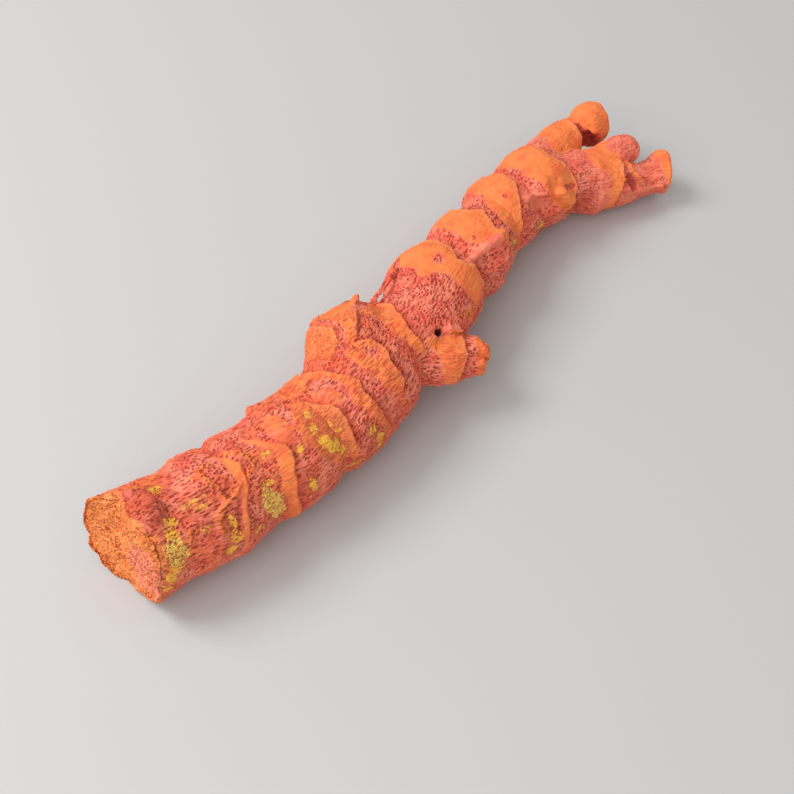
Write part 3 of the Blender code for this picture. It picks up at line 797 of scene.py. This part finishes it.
def growth_fields(points):
    """What the skin is at each point: how it is raised, painted and opened, and its place along the fibres."""
    count = len(points)
    stem = stem_growth(points)
    limbs = {name: limb_growth(points, rows) for name, rows in LIMBS.items()}
    names = ["stem", *limbs]
    gaps = np.array([stem[4], *(limbs[name][4] for name in limbs)])
    owner = gaps.argmin(0)
    fields = {
        "collar": np.full(count, -3.0),
        "rise": np.zeros(count),
        "streak": np.full(count, -3.0),
        "yellow": np.full(count, -3.0),
        "green": np.zeros(count),
        "relief": np.zeros(count),
        "closed": np.zeros(count),
        "dark": np.zeros(count),
        "lined": np.full(count, 0.15),
    }
    thin = (owner == names.index("spur")) | (owner == names.index("strand"))
    on_stem = (owner == 0) | ((stem[4] < 1.0) & ~thin)
    far = [far_collar(*row) for row in FAR_COLLARS]
    paint_outlines(fields, on_stem, stem[0], stem[3], STEM_COLLARS + far)
    for name, outlines in LIMB_COLLARS.items():
        along, _, _, turn, gap = limbs[name]
        here = ((owner == names.index(name)) | (gap < 0.8)) & (along > LIMB_START[name])
        paint_outlines(fields, here, along, turn, outlines)
    fields["rise"][owner == names.index("rear_knob")] = 0.0
    x = stem[0] + wobble(stem[0], stem[3] * ARC)
    for outline in STEM_STREAKS:
        depth = outline_fields(x[on_stem], stem[3][on_stem], outline)[0]
        fields["streak"][on_stem] = np.maximum(fields["streak"][on_stem], depth)
    knob = (owner == names.index("rear_knob")) & (limbs["rear_knob"][0] > KNOB_START)
    fields["closed"][knob] = 0.5
    mould(fields, on_stem, stem[0], stem[3], STEM_RELIEF, ARC)
    for name, rows in LIMB_RELIEF.items():
        along, _, _, turn, gap = limbs[name]
        mould(fields, (owner == names.index(name)) & (along > MOULD_START), along, turn, rows, LIMB_ARC)
    for outline in STEM_ISLANDS:
        depth = outline_fields(x[on_stem], stem[3][on_stem], outline)[0]
        fields["collar"][on_stem] = np.minimum(fields["collar"][on_stem], -depth)
    tips = ease(stem[0], 38.0, 46.0)
    fields["closed"] = np.maximum(fields["closed"], 0.45 * tips)
    for outline in STEM_SPECKLES:
        depth = outline_fields(x[on_stem], stem[3][on_stem], outline)[0]
        share = ease(depth, -0.3, 0.3)
        fields["collar"][on_stem] = fields["collar"][on_stem] * (1.0 - share) + 0.01 * share
    lined = ease(stem[0], -37.0, -30.0) * (1.0 - ease(stem[0], -10.0, -5.0))
    fields["lined"] = np.where(owner == 0, 0.2 + 0.8 * lined, fields["lined"])
    fields["lined"][owner == names.index("side_stub")] = 0.6
    for place, angle, long, wide, *green in YELLOW:
        away = np.hypot((stem[0] - place) / long, turn_between(stem[3], angle) * ARC / wide)
        depth = (1.0 - away) * min(long, wide)
        fields["yellow"] = np.maximum(fields["yellow"], np.where(on_stem, depth, -3.0))
        if green:
            fields["green"] = np.maximum(fields["green"], ease(1.3 - away, 0.0, 0.6))
    spur = owner == names.index("spur")
    fields["collar"][spur] = np.where(limbs["spur"][1][spur] > -0.2, 0.4, -0.4)
    fields["rise"][thin] = 0.0
    grown = np.array([stem[:3], *(limbs[name][:3] for name in limbs)])
    fields["growth"] = grown[owner, :, np.arange(count)]
    away = np.hypot(stem[1] + 5.0, stem[2] + 0.5) / 4.5
    fields["rosy"] = ease(1.2 - away, 0.0, 0.5)
    fields["pit"] = pit_share(points)
    share = np.minimum(np.hypot(stem[1], stem[2]) / 8.6, 1.05)
    rim = np.interp(stem[3], *zip(*BREAK_RIM)) + 0.7 * wobble(2.0 * stem[3] * ARC, stem[0])
    lean = BREAK_LEAN * share * np.cos(np.radians(stem[3] - BREAK_FRONT))
    aside = turn_between(stem[3], BREAK_LIP_SIDE) / BREAK_LIP_HALF
    lip = BREAK_LIP * share**2 * np.maximum(0.0, 1.0 - aside**2)
    face = BREAK_X + lean - lip + 2.4
    past = face + (rim - face) * ease(share, 0.84, 0.95) - stem[0]
    fields["broken"] = ease(past, 0.0, 0.5)
    fields["relief"] -= RIM_SLOPE * np.clip(past, 0.0, 2.5) * ease(share, 0.85, 0.94)
    return fields


def pit_share(points):
    """1 at the middle of the pit's mouth, 0 at its edge."""
    aim = PIT_AIM / np.linalg.norm(PIT_AIM)
    off = points - PIT_PLACE
    deep = off @ aim
    flat = off - deep[:, None] * aim
    round_it = np.arctan2(flat[:, 1], flat[:, 0])
    ragged = 1.0 + 0.2 * np.sin(2.0 * round_it + 0.6) + 0.12 * np.sin(5.0 * round_it)
    away = np.linalg.norm(flat, axis=1) / (PIT_RADIUS * ragged)
    return np.where((away < 1.0) & (abs(deep) < 3.0), np.sqrt(np.maximum(0.0, 1.0 - away**2)), 0.0)


def sink_pit(points):
    aim = PIT_AIM / np.linalg.norm(PIT_AIM)
    return points - (PIT_DEPTH * pit_share(points))[:, None] * aim


def write_points(mesh, points):
    mesh.vertices.foreach_set("co", (points * MM).astype(np.float32).ravel())
    mesh.update()


def write_field(mesh, name, values):
    kind, key = ("FLOAT", "value") if values.ndim == 1 else ("FLOAT_VECTOR", "vector")
    field = mesh.attributes.new(name, kind, "POINT")
    field.data.foreach_set(key, values.astype(np.float32).ravel())


def add_node(tree, kind, inputs=None, **settings):
    """A node with its settings and inputs; an input is a value or the output that feeds it."""
    node = tree.nodes.new(kind)
    for key, value in settings.items():
        setattr(node, key, value)
    for key, value in (inputs or {}).items():
        socket = node.inputs[key]
        if isinstance(value, bpy.types.NodeSocket):
            tree.links.new(value, socket)
        else:
            socket.default_value = value
    return node


def maths(tree, operation, a, b):
    return add_node(tree, "ShaderNodeMath", {0: a, 1: b}, operation=operation).outputs[0]


def times(tree, a, b):
    return maths(tree, "MULTIPLY", a, b)


def plus(tree, a, b):
    return maths(tree, "ADD", a, b)


def minus(tree, a, b):
    return maths(tree, "SUBTRACT", a, b)


def ramp(tree, value, low, high, out_low=0.0, out_high=1.0):
    """A smooth step of the value from low to high."""
    inputs = {"Value": value, 1: low, 2: high, 3: out_low, 4: out_high}
    return add_node(tree, "ShaderNodeMapRange", inputs, interpolation_type="SMOOTHSTEP").outputs[0]


def stretched(tree, growth, along, across):
    """The growth coordinates, measured in cells of the given length and width."""
    scale = (1.0 / along, 1.0 / across, 1.0 / across)
    return add_node(tree, "ShaderNodeVectorMath", {0: growth, 1: scale}, operation="MULTIPLY").outputs[0]


def cells(tree, growth, along, across):
    """Distance from the middle of the nearest cell."""
    node = add_node(tree, "ShaderNodeTexVoronoi", {"Vector": stretched(tree, growth, along, across), "Scale": 1.0})
    return node.outputs["Distance"]


def mottle(tree, growth, along, across, detail=2.0):
    inputs = {"Vector": stretched(tree, growth, along, across), "Scale": 1.0, "Detail": detail}
    return add_node(tree, "ShaderNodeTexNoise", inputs).outputs[0]


# The openings of the skin: length and width of a cell of round pores, and of long slits.
PORE_CELL = (0.5, 0.36)
SLIT_CELL = (1.3, 0.31)
LINE_CELL = (1.3, 0.22)
FIBRE_CELL = (3.6, 0.3)
REGION_SIZE = 4.0
PATCH_SIZE = 2.6


def openings(tree, growth, place, collar, broken, closed):
    """How open the skin is at a point, 0 to 1. Both the relief and the colour read it."""
    pores = ramp(tree, cells(tree, growth, *PORE_CELL), 0.54, 0.24)
    slits = ramp(tree, cells(tree, growth, *SLIT_CELL), 0.5, 0.22)
    slit_share = ramp(tree, mottle(tree, place, REGION_SIZE, REGION_SIZE), 0.44, 0.56)
    pore_share = minus(tree, 1.0, slit_share)
    both = plus(tree, times(tree, pores, pore_share), times(tree, slits, slit_share))
    some = ramp(tree, mottle(tree, place, 1.7, 1.7), 0.3, 0.5, 0.55, 1.0)
    opened = times(tree, both, some)
    bare = ramp(tree, collar, 0.1, -0.25, 0.06, 1.0)
    opened = times(tree, opened, maths(tree, "MAXIMUM", bare, broken))
    return times(tree, opened, minus(tree, 1.0, closed))


def group_input(tree, name, kind, value=None):
    socket = tree.interface.new_socket(name=name, in_out="INPUT", socket_type=kind)
    if value is not None:
        socket.default_value = value
    return socket


def named(tree, name, kind="FLOAT"):
    return add_node(tree, "GeometryNodeInputNamedAttribute", {"Name": name}, data_type=kind).outputs[0]


def relief_tree():
    """Raises the collars, sinks the pores and slits, and roughens the broken face."""
    tree = bpy.data.node_groups.new("coral relief", "GeometryNodeTree")
    group_input(tree, "Geometry", "NodeSocketGeometry")
    group_input(tree, "Collar Rise", "NodeSocketFloat", 0.45 * MM)
    group_input(tree, "Opening Depth", "NodeSocketFloat", 0.2 * MM)
    group_input(tree, "Fibre Height", "NodeSocketFloat", 0.22 * MM)
    group_input(tree, "Unevenness", "NodeSocketFloat", 0.5 * MM)
    group_input(tree, "Broken Depth", "NodeSocketFloat", 0.75 * MM)
    group_input(tree, "Material", "NodeSocketMaterial")
    tree.interface.new_socket(name="Geometry", in_out="OUTPUT", socket_type="NodeSocketGeometry")
    given = add_node(tree, "NodeGroupInput").outputs
    growth = named(tree, "growth", "FLOAT_VECTOR")
    collar, broken, closed = named(tree, "collar"), named(tree, "broken"), named(tree, "closed")
    raised = times(tree, named(tree, "rise"), given["Collar Rise"])
    raised = plus(tree, raised, times(tree, named(tree, "relief"), MM))
    metres = add_node(tree, "GeometryNodeInputPosition").outputs[0]
    place = add_node(tree, "ShaderNodeVectorMath", {0: metres, "Scale": 1.0 / MM}, operation="SCALE").outputs[0]
    opened = times(tree, openings(tree, growth, place, collar, broken, closed), given["Opening Depth"])
    fibre = minus(tree, mottle(tree, growth, *FIBRE_CELL, 1.0), 0.5)
    fibre = times(tree, fibre, given["Fibre Height"])
    uneven = minus(tree, mottle(tree, place, 1.6, 1.6, 2.0), 0.5)
    fibre = plus(tree, fibre, times(tree, uneven, given["Unevenness"]))
    sponge = minus(tree, mottle(tree, place, 0.7, 0.7, 2.0), 0.6)
    sponge = times(tree, times(tree, sponge, broken), given["Broken Depth"])
    height = minus(tree, plus(tree, plus(tree, raised, fibre), sponge), opened)
    normal = add_node(tree, "GeometryNodeInputNormal").outputs[0]
    offset = add_node(tree, "ShaderNodeVectorMath", {0: normal, "Scale": height}, operation="SCALE").outputs[0]
    moved = add_node(tree, "GeometryNodeSetPosition", {"Geometry": given["Geometry"], "Offset": offset})
    whole = add_node(tree, "GeometryNodeRealizeInstances", {"Geometry": moved.outputs[0]})
    dressed = add_node(tree, "GeometryNodeSetMaterial", {"Geometry": whole.outputs[0], "Material": given["Material"]})
    add_node(tree, "NodeGroupOutput", {"Geometry": dressed.outputs[0]})
    return tree


def apply_tree(item, tree, **values):
    """Runs a tree on the object with the given inputs and keeps the result as its mesh."""
    step = item.modifiers.new(tree.name, "NODES")
    step.node_group = tree
    for socket in tree.interface.items_tree:
        key = socket.name.lower().replace(" ", "_")
        if socket.in_out == "INPUT" and key in values:
            step[socket.identifier] = values[key]
    settle(item)


def grain_tree():
    """Scatters small angular grains where a field is above zero."""
    tree = bpy.data.node_groups.new("loose grains", "GeometryNodeTree")
    group_input(tree, "Geometry", "NodeSocketGeometry")
    group_input(tree, "Field", "NodeSocketString", "yellow")
    group_input(tree, "Field Floor", "NodeSocketFloat", 0.0)
    group_input(tree, "Spacing", "NodeSocketFloat", 0.3 * MM)
    group_input(tree, "Density", "NodeSocketFloat", 6.0e6)
    group_input(tree, "Smallest", "NodeSocketFloat", 0.1 * MM)
    group_input(tree, "Largest", "NodeSocketFloat", 0.2 * MM)
    group_input(tree, "Seed", "NodeSocketInt", 1)
    group_input(tree, "Material", "NodeSocketMaterial")
    tree.interface.new_socket(name="Geometry", in_out="OUTPUT", socket_type="NodeSocketGeometry")
    given = add_node(tree, "NodeGroupInput").outputs
    field = add_node(tree, "GeometryNodeInputNamedAttribute", {"Name": given["Field"]}, data_type="FLOAT").outputs[0]
    chosen = add_node(tree, "FunctionNodeCompare", {0: field, 1: given["Field Floor"]}, operation="GREATER_THAN")
    points = add_node(
        tree,
        "GeometryNodeDistributePointsOnFaces",
        {
            "Mesh": given["Geometry"],
            "Selection": chosen.outputs[0],
            "Distance Min": given["Spacing"],
            "Density Max": given["Density"],
            "Seed": given["Seed"],
        },
        distribute_method="POISSON",
    )
    grain = add_node(tree, "GeometryNodeMeshIcoSphere", {"Radius": 1.0, "Subdivisions": 1})
    size = add_node(
        tree,
        "FunctionNodeRandomValue",
        {2: given["Smallest"], 3: given["Largest"], "Seed": given["Seed"]},
        data_type="FLOAT",
    )
    squash = add_node(
        tree,
        "FunctionNodeRandomValue",
        {0: (0.7, 0.6, 0.4), 1: (1.3, 1.0, 0.7), "Seed": 5},
        data_type="FLOAT_VECTOR",
    )
    scale = add_node(
        tree, "ShaderNodeVectorMath", {0: squash.outputs[0], "Scale": size.outputs[1]}, operation="SCALE"
    )
    placed = add_node(
        tree,
        "GeometryNodeInstanceOnPoints",
        {
            "Points": points.outputs["Points"],
            "Instance": grain.outputs["Mesh"],
            "Rotation": points.outputs["Rotation"],
            "Scale": scale.outputs[0],
        },
    )
    whole = add_node(tree, "GeometryNodeRealizeInstances", {"Geometry": placed.outputs[0]})
    dressed = add_node(tree, "GeometryNodeSetMaterial", {"Geometry": whole.outputs[0], "Material": given["Material"]})
    add_node(tree, "NodeGroupOutput", {"Geometry": dressed.outputs[0]})
    return tree


def blend(tree, share, a, b):
    """Colour a, turning to colour b as the share goes from 0 to 1."""
    node = add_node(tree, "ShaderNodeMix", data_type="RGBA")
    for index, value in ((0, share), (6, a), (7, b)):
        if isinstance(value, bpy.types.NodeSocket):
            tree.links.new(value, node.inputs[index])
        else:
            node.inputs[index].default_value = (*value, 1.0) if index else value
    return node.outputs[2]


def from_screen(red, green, blue):
    """A colour given as it looks, from 0 to 255, as the linear numbers that a shader takes."""
    return tuple(
        (v / 255 / 12.92 if v / 255 <= 0.04045 else ((v / 255 + 0.055) / 1.055) ** 2.4) for v in (red, green, blue)
    )


ORANGE = from_screen(243, 130, 68)
ORANGE_DEEP = from_screen(234, 108, 58)
ORANGE_PALE = from_screen(250, 156, 96)
RED = from_screen(234, 102, 78)
RED_DEEP = from_screen(192, 62, 54)
RED_DARK_AND_SHADE = from_screen(164, 52, 46)
PINK = from_screen(245, 138, 110)
# Painted shade inside the pores and slits.
OPENING_SHADE = from_screen(158, 46, 42)
# Painted shade in the pit.
PIT_SHADE = from_screen(92, 26, 24)
GOLD = from_screen(240, 180, 56)
OLIVE = from_screen(228, 194, 98)
CRUMB = from_screen(250, 152, 84)
CRUMB_DARK = from_screen(220, 112, 60)
# Painted shade inside the openings of the broken face.
CRUMB_DEEP = from_screen(176, 76, 42)
CRUMB_BROWN = from_screen(216, 112, 50)
DIRT = from_screen(184, 96, 58)
SAND = from_screen(244, 224, 196)


def coral_material():
    material = bpy.data.materials.new("coral skin")
    material.use_nodes = True
    tree = material.node_tree
    shader = tree.nodes["Principled BSDF"]

    def field(name, output="Fac"):
        return add_node(tree, "ShaderNodeAttribute", attribute_name=name).outputs[output]

    metres = add_node(tree, "ShaderNodeTexCoord").outputs["Object"]
    place = add_node(tree, "ShaderNodeVectorMath", {0: metres, "Scale": 1.0 / MM}, operation="SCALE").outputs[0]
    growth = field("growth", "Vector")
    collar, broken, closed, rise = field("collar"), field("broken"), field("closed"), field("rise")
    opened = openings(tree, growth, place, collar, broken, closed)
    fine = mottle(tree, place, 0.5, 0.5, 3.0)
    patchy = mottle(tree, place, PATCH_SIZE, PATCH_SIZE, 3.0)
    fibre = mottle(tree, growth, *FIBRE_CELL, 2.0)

    red = blend(tree, ramp(tree, patchy, 0.36, 0.64), RED, PINK)
    broad = mottle(tree, place, 6.0, 6.0, 3.0)
    near_base = ramp(tree, add_node(tree, "ShaderNodeSeparateXYZ", {0: place}).outputs[0], 0.0, -30.0, 0.15, 0.7)
    red = blend(tree, times(tree, ramp(tree, broad, 0.45, 0.6), near_base), red, ORANGE_DEEP)
    red = blend(tree, ramp(tree, fibre, 0.52, 0.32, 0.0, 0.7), red, RED_DEEP)
    red = blend(tree, ramp(tree, fine, 0.55, 0.75, 0.0, 0.6), red, PINK)
    orange = blend(tree, ramp(tree, patchy, 0.3, 0.6), ORANGE_DEEP, ORANGE)
    orange = blend(tree, ramp(tree, fine, 0.5, 0.8, 0.0, 0.5), orange, ORANGE_PALE)
    lines = ramp(tree, cells(tree, growth, *LINE_CELL), 0.56, 0.3)
    lines = times(tree, lines, field("lined"))
    orange = blend(tree, times(tree, lines, 0.8), orange, RED_DEEP)
    # Paler orange at each collar's raised edge, and deeper red on the skin drawn in just past its step.
    orange = blend(tree, ramp(tree, rise, 0.8, 1.0, 0.0, 0.5), orange, ORANGE_PALE)
    red = blend(tree, ramp(tree, rise, -0.1, -0.5, 0.0, 0.5), red, RED_DEEP)
    red = blend(tree, times(tree, closed, 0.35), red, PINK)
    # Deeper red where the dark kinds lie: partly the skin's own colour, partly painted shade in the hollows.
    red = blend(tree, times(tree, field("dark"), 0.75), red, RED_DARK_AND_SHADE)
    border = times(tree, minus(tree, fine, 0.5), 0.7)
    share = ramp(tree, plus(tree, collar, border), -0.08, 0.08)
    streak = ramp(tree, plus(tree, field("streak"), border), -0.15, 0.1)
    share = maths(tree, "MAXIMUM", share, times(tree, streak, 0.85))
    colour = blend(tree, share, red, orange)
    crumb = blend(tree, ramp(tree, mottle(tree, place, 0.4, 0.4, 3.0), 0.36, 0.54), CRUMB_DARK, CRUMB)
    crumb = blend(tree, ramp(tree, mottle(tree, place, 3.4, 3.4, 2.0), 0.5, 0.66, 0.0, 0.6), crumb, CRUMB_BROWN)
    crumb = blend(tree, times(tree, field("rosy"), 0.8), crumb, PINK)
    colour = blend(tree, ramp(tree, plus(tree, broken, border), 0.4, 0.6), colour, crumb)
    # The pores and slits, and the openings of the broken face, are painted darker: painted shade inside them.
    opening_shade = blend(tree, minus(tree, broken, field("rosy")), OPENING_SHADE, CRUMB_DEEP)
    colour = blend(tree, times(tree, opened, 0.8), colour, opening_shade)
    grain = mottle(tree, place, 0.35, 0.35, 2.0)
    yellow = blend(tree, field("green"), GOLD, OLIVE)
    yellow = blend(tree, ramp(tree, grain, 0.52, 0.36, 0.0, 0.9), yellow, CRUMB_DARK)
    dirt = ramp(tree, plus(tree, field("yellow"), times(tree, border, 2.6)), -1.6, 0.2, 0.0, 0.45)
    colour = blend(tree, dirt, colour, DIRT)
    crust = plus(tree, field("yellow"), times(tree, border, 2.6))
    crust = times(tree, ramp(tree, crust, 0.1, 0.35), minus(tree, 1.0, opened))
    colour = blend(tree, crust, colour, yellow)
    # The pit's mouth is painted near black: painted shade in the pit.
    colour = blend(tree, ramp(tree, field("pit"), 0.3, 0.8), colour, PIT_SHADE)
    tree.links.new(colour, shader.inputs["Base Color"])

    height = minus(tree, times(tree, fine, 0.3), opened)
    height = plus(tree, height, times(tree, fibre, 0.5))
    height = minus(tree, height, times(tree, lines, 0.4))
    bump = add_node(tree, "ShaderNodeBump", {"Height": height, "Distance": 0.14 * MM, "Strength": 1.0})
    tree.links.new(bump.outputs[0], shader.inputs["Normal"])
    tree.links.new(ramp(tree, fine, 0.3, 0.7, 0.66, 0.88), shader.inputs["Roughness"])
    shader.inputs["Specular IOR Level"].default_value = 0.35
    return material


def grain_material(name, light, dark, roughness):
    material = bpy.data.materials.new(name)
    material.use_nodes = True
    tree = material.node_tree
    shader = tree.nodes["Principled BSDF"]
    place = add_node(tree, "ShaderNodeTexCoord").outputs["Object"]
    speckle = add_node(tree, "ShaderNodeTexNoise", {"Vector": place, "Scale": 1.2 / MM, "Detail": 1.0}).outputs[0]
    tree.links.new(blend(tree, ramp(tree, speckle, 0.4, 0.6), dark, light), shader.inputs["Base Color"])
    tree.links.new(ramp(tree, speckle, 0.3, 0.7, roughness, roughness + 0.15), shader.inputs["Roughness"])
    return material


def part_faces(mesh):
    """The piece that each face belongs to."""
    points = places_of(mesh)
    count = len(mesh.polygons)
    loops = np.zeros(len(mesh.loops), np.int32)
    mesh.loops.foreach_get("vertex_index", loops)
    starts = np.zeros(count, np.int32)
    totals = np.zeros(count, np.int32)
    mesh.polygons.foreach_get("loop_start", starts)
    mesh.polygons.foreach_get("loop_total", totals)
    middles = np.add.reduceat(points[loops], starts) / totals[:, None]

    def past(name):
        centre, direction = CUTS[name]
        return (middles - np.array(centre)) @ np.array(direction) > 0

    x = middles[:, 0]
    lower = np.where(x < BASE_END, "stem_base", np.where(x < MIDDLE_END, "stem_middle", "stem_shoulder"))
    upper = np.where(x < FORK_START, "upper_stem", "stem_fork")
    names = np.where(past("stem"), upper, lower)
    stub = past("side_stub") & (middles[:, 1] < STUB_SIDE_Y) & (x > STUB_SPAN[0]) & (x < STUB_SPAN[1])
    names = np.where(stub, "side_stub", names)
    names = np.where(past("left_tip") & (middles[:, 1] > TIPS_APART_Y), "left_tip", names)
    return np.where(past("right_tip") & (middles[:, 1] < TIPS_APART_Y), "right_tip", names)


def split_skin(coral):
    """The skin's pieces, each closed where it was parted from the next."""
    names = part_faces(coral.data)
    made = {}
    for name in sorted(set(names)):
        shape = bmesh.new()
        shape.from_mesh(coral.data)
        shape.faces.ensure_lookup_table()
        spare = [shape.faces[i] for i in np.nonzero(names != name)[0]]
        bmesh.ops.delete(shape, geom=spare, context="FACES")
        rim = [edge for edge in shape.edges if edge.is_boundary]
        for edge in rim:
            edge.smooth = False
        made_faces = bmesh.ops.holes_fill(shape, edges=rim, sides=0)["faces"]
        bmesh.ops.triangulate(shape, faces=made_faces)
        mesh = bpy.data.meshes.new(name)
        shape.to_mesh(mesh)
        shape.free()
        mesh.materials.append(coral.data.materials[0])
        made[name] = new_object(name + "_skin", mesh)
    return made


def keep_inside(mesh):
    """Brings the points that stand past the solids' box back to its sides."""
    points = places_of(mesh)
    low, high = (np.array(corner) / MM for corner in cad_box)
    write_points(mesh, np.clip(points, low, high))


REPLACED = {
    "stem_base": "lower_stem",
    "stem_middle": "lower_stem",
    "stem_shoulder": "lower_stem",
    "upper_stem": "upper_stem",
    "stem_fork": "upper_stem",
    "side_stub": "side_stub",
    "left_tip": "left_tip",
    "right_tip": "right_tip",
}


def build_coral():
    coral = grow_skin()
    points = places_of(coral.data)
    fields = growth_fields(points)
    write_points(coral.data, sink_pit(points) - MIDDLE)
    for name, values in fields.items():
        write_field(coral.data, name, values)
    skin = coral_material()
    apply_tree(coral, relief_tree(), material=skin)
    keep_inside(coral.data)
    coral.data.polygons.foreach_set("use_smooth", np.ones(len(coral.data.polygons), bool))
    whole = coral.data.copy()
    whole_points = places_of(coral.data)
    write_points(coral.data, whole_points + MIDDLE)
    pieces = split_skin(coral)
    for name, piece in pieces.items():
        write_points(piece.data, places_of(piece.data) - MIDDLE)
        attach(piece, "root")
        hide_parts(REPLACED[name])
    bpy.data.objects.remove(coral, do_unlink=True)
    return whole


def add_grains(whole):
    tree = grain_tree()
    gold = grain_material("yellow crust", GOLD, OLIVE, 0.7)
    sand = grain_material("sand", SAND, PINK, 0.5)
    rows = (
        ("yellow_crust", gold, "yellow", 0.25, 0.28, 9.0e6, 0.08, 0.17, 3),
        ("sand_grains", sand, "growth_share", 0.5, 2.5, 4.0e4, 0.06, 0.14, 11),
    )
    for name, material, field, floor, spacing, density, small, large, seed in rows:
        grains = new_object(name, whole.copy())
        if field == "growth_share":
            write_field(grains.data, field, np.ones(len(grains.data.vertices)))
        apply_tree(
            grains,
            tree,
            field=field,
            field_floor=floor,
            spacing=spacing * MM,
            density=density,
            smallest=small * MM,
            largest=large * MM,
            seed=seed,
            material=material,
        )
        keep_inside(grains.data)
        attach(grains, "root")


def add_light(name, power, size, place, aim=(0.0, 0.0, 0.0), colour=(1.0, 1.0, 1.0)):
    lamp = bpy.data.lights.new(name, "AREA")
    lamp.energy = power
    lamp.size = size
    lamp.color = colour
    made = bpy.data.objects.new(name, lamp)
    made.location = place
    made.rotation_euler = (Vector(aim) - Vector(place)).to_track_quat("-Z", "Y").to_euler()
    bpy.context.scene.collection.objects.link(made)


def build_stage():
    shape = bmesh.new()
    bmesh.ops.create_grid(shape, x_segments=1, y_segments=1, size=3.0)
    mesh = bpy.data.meshes.new("floor")
    shape.to_mesh(mesh)
    shape.free()
    floor = new_object("floor", mesh)
    material = bpy.data.materials.new("floor")
    material.use_nodes = True
    shader = material.node_tree.nodes["Principled BSDF"]
    shader.inputs["Base Color"].default_value = (0.5, 0.5, 0.5, 1.0)
    shader.inputs["Roughness"].default_value = 0.6
    mesh.materials.append(material)
    world = bpy.data.worlds.new("studio")
    world.use_nodes = True
    world.node_tree.nodes["Background"].inputs["Color"].default_value = (1.0, 0.98, 0.96, 1.0)
    world.node_tree.nodes["Background"].inputs["Strength"].default_value = 0.6
    bpy.context.scene.world = world
    add_light("key", 1.8, 0.25, (-0.2, 0.28, 0.42))
    add_light("fill", 1.2, 0.5, (-0.38, -0.12, 0.35))


def build_camera():
    camera = bpy.data.cameras.new("camera")
    camera.sensor_fit = "HORIZONTAL"
    camera.angle = math.radians(VIEW_ANGLE)
    camera.clip_start = 0.01
    made = bpy.data.objects.new("camera", camera)
    back = VIEW_BACK.normalized()
    made.location = (VIEW_AIM + back * VIEW_DISTANCE) * MM
    made.rotation_euler = back.to_track_quat("Z", "Y").to_euler()
    bpy.context.scene.collection.objects.link(made)
    bpy.context.scene.camera = made


bpy.context.scene.view_settings.view_transform = "Standard"
build_camera()
build_stage()
add_grains(build_coral())
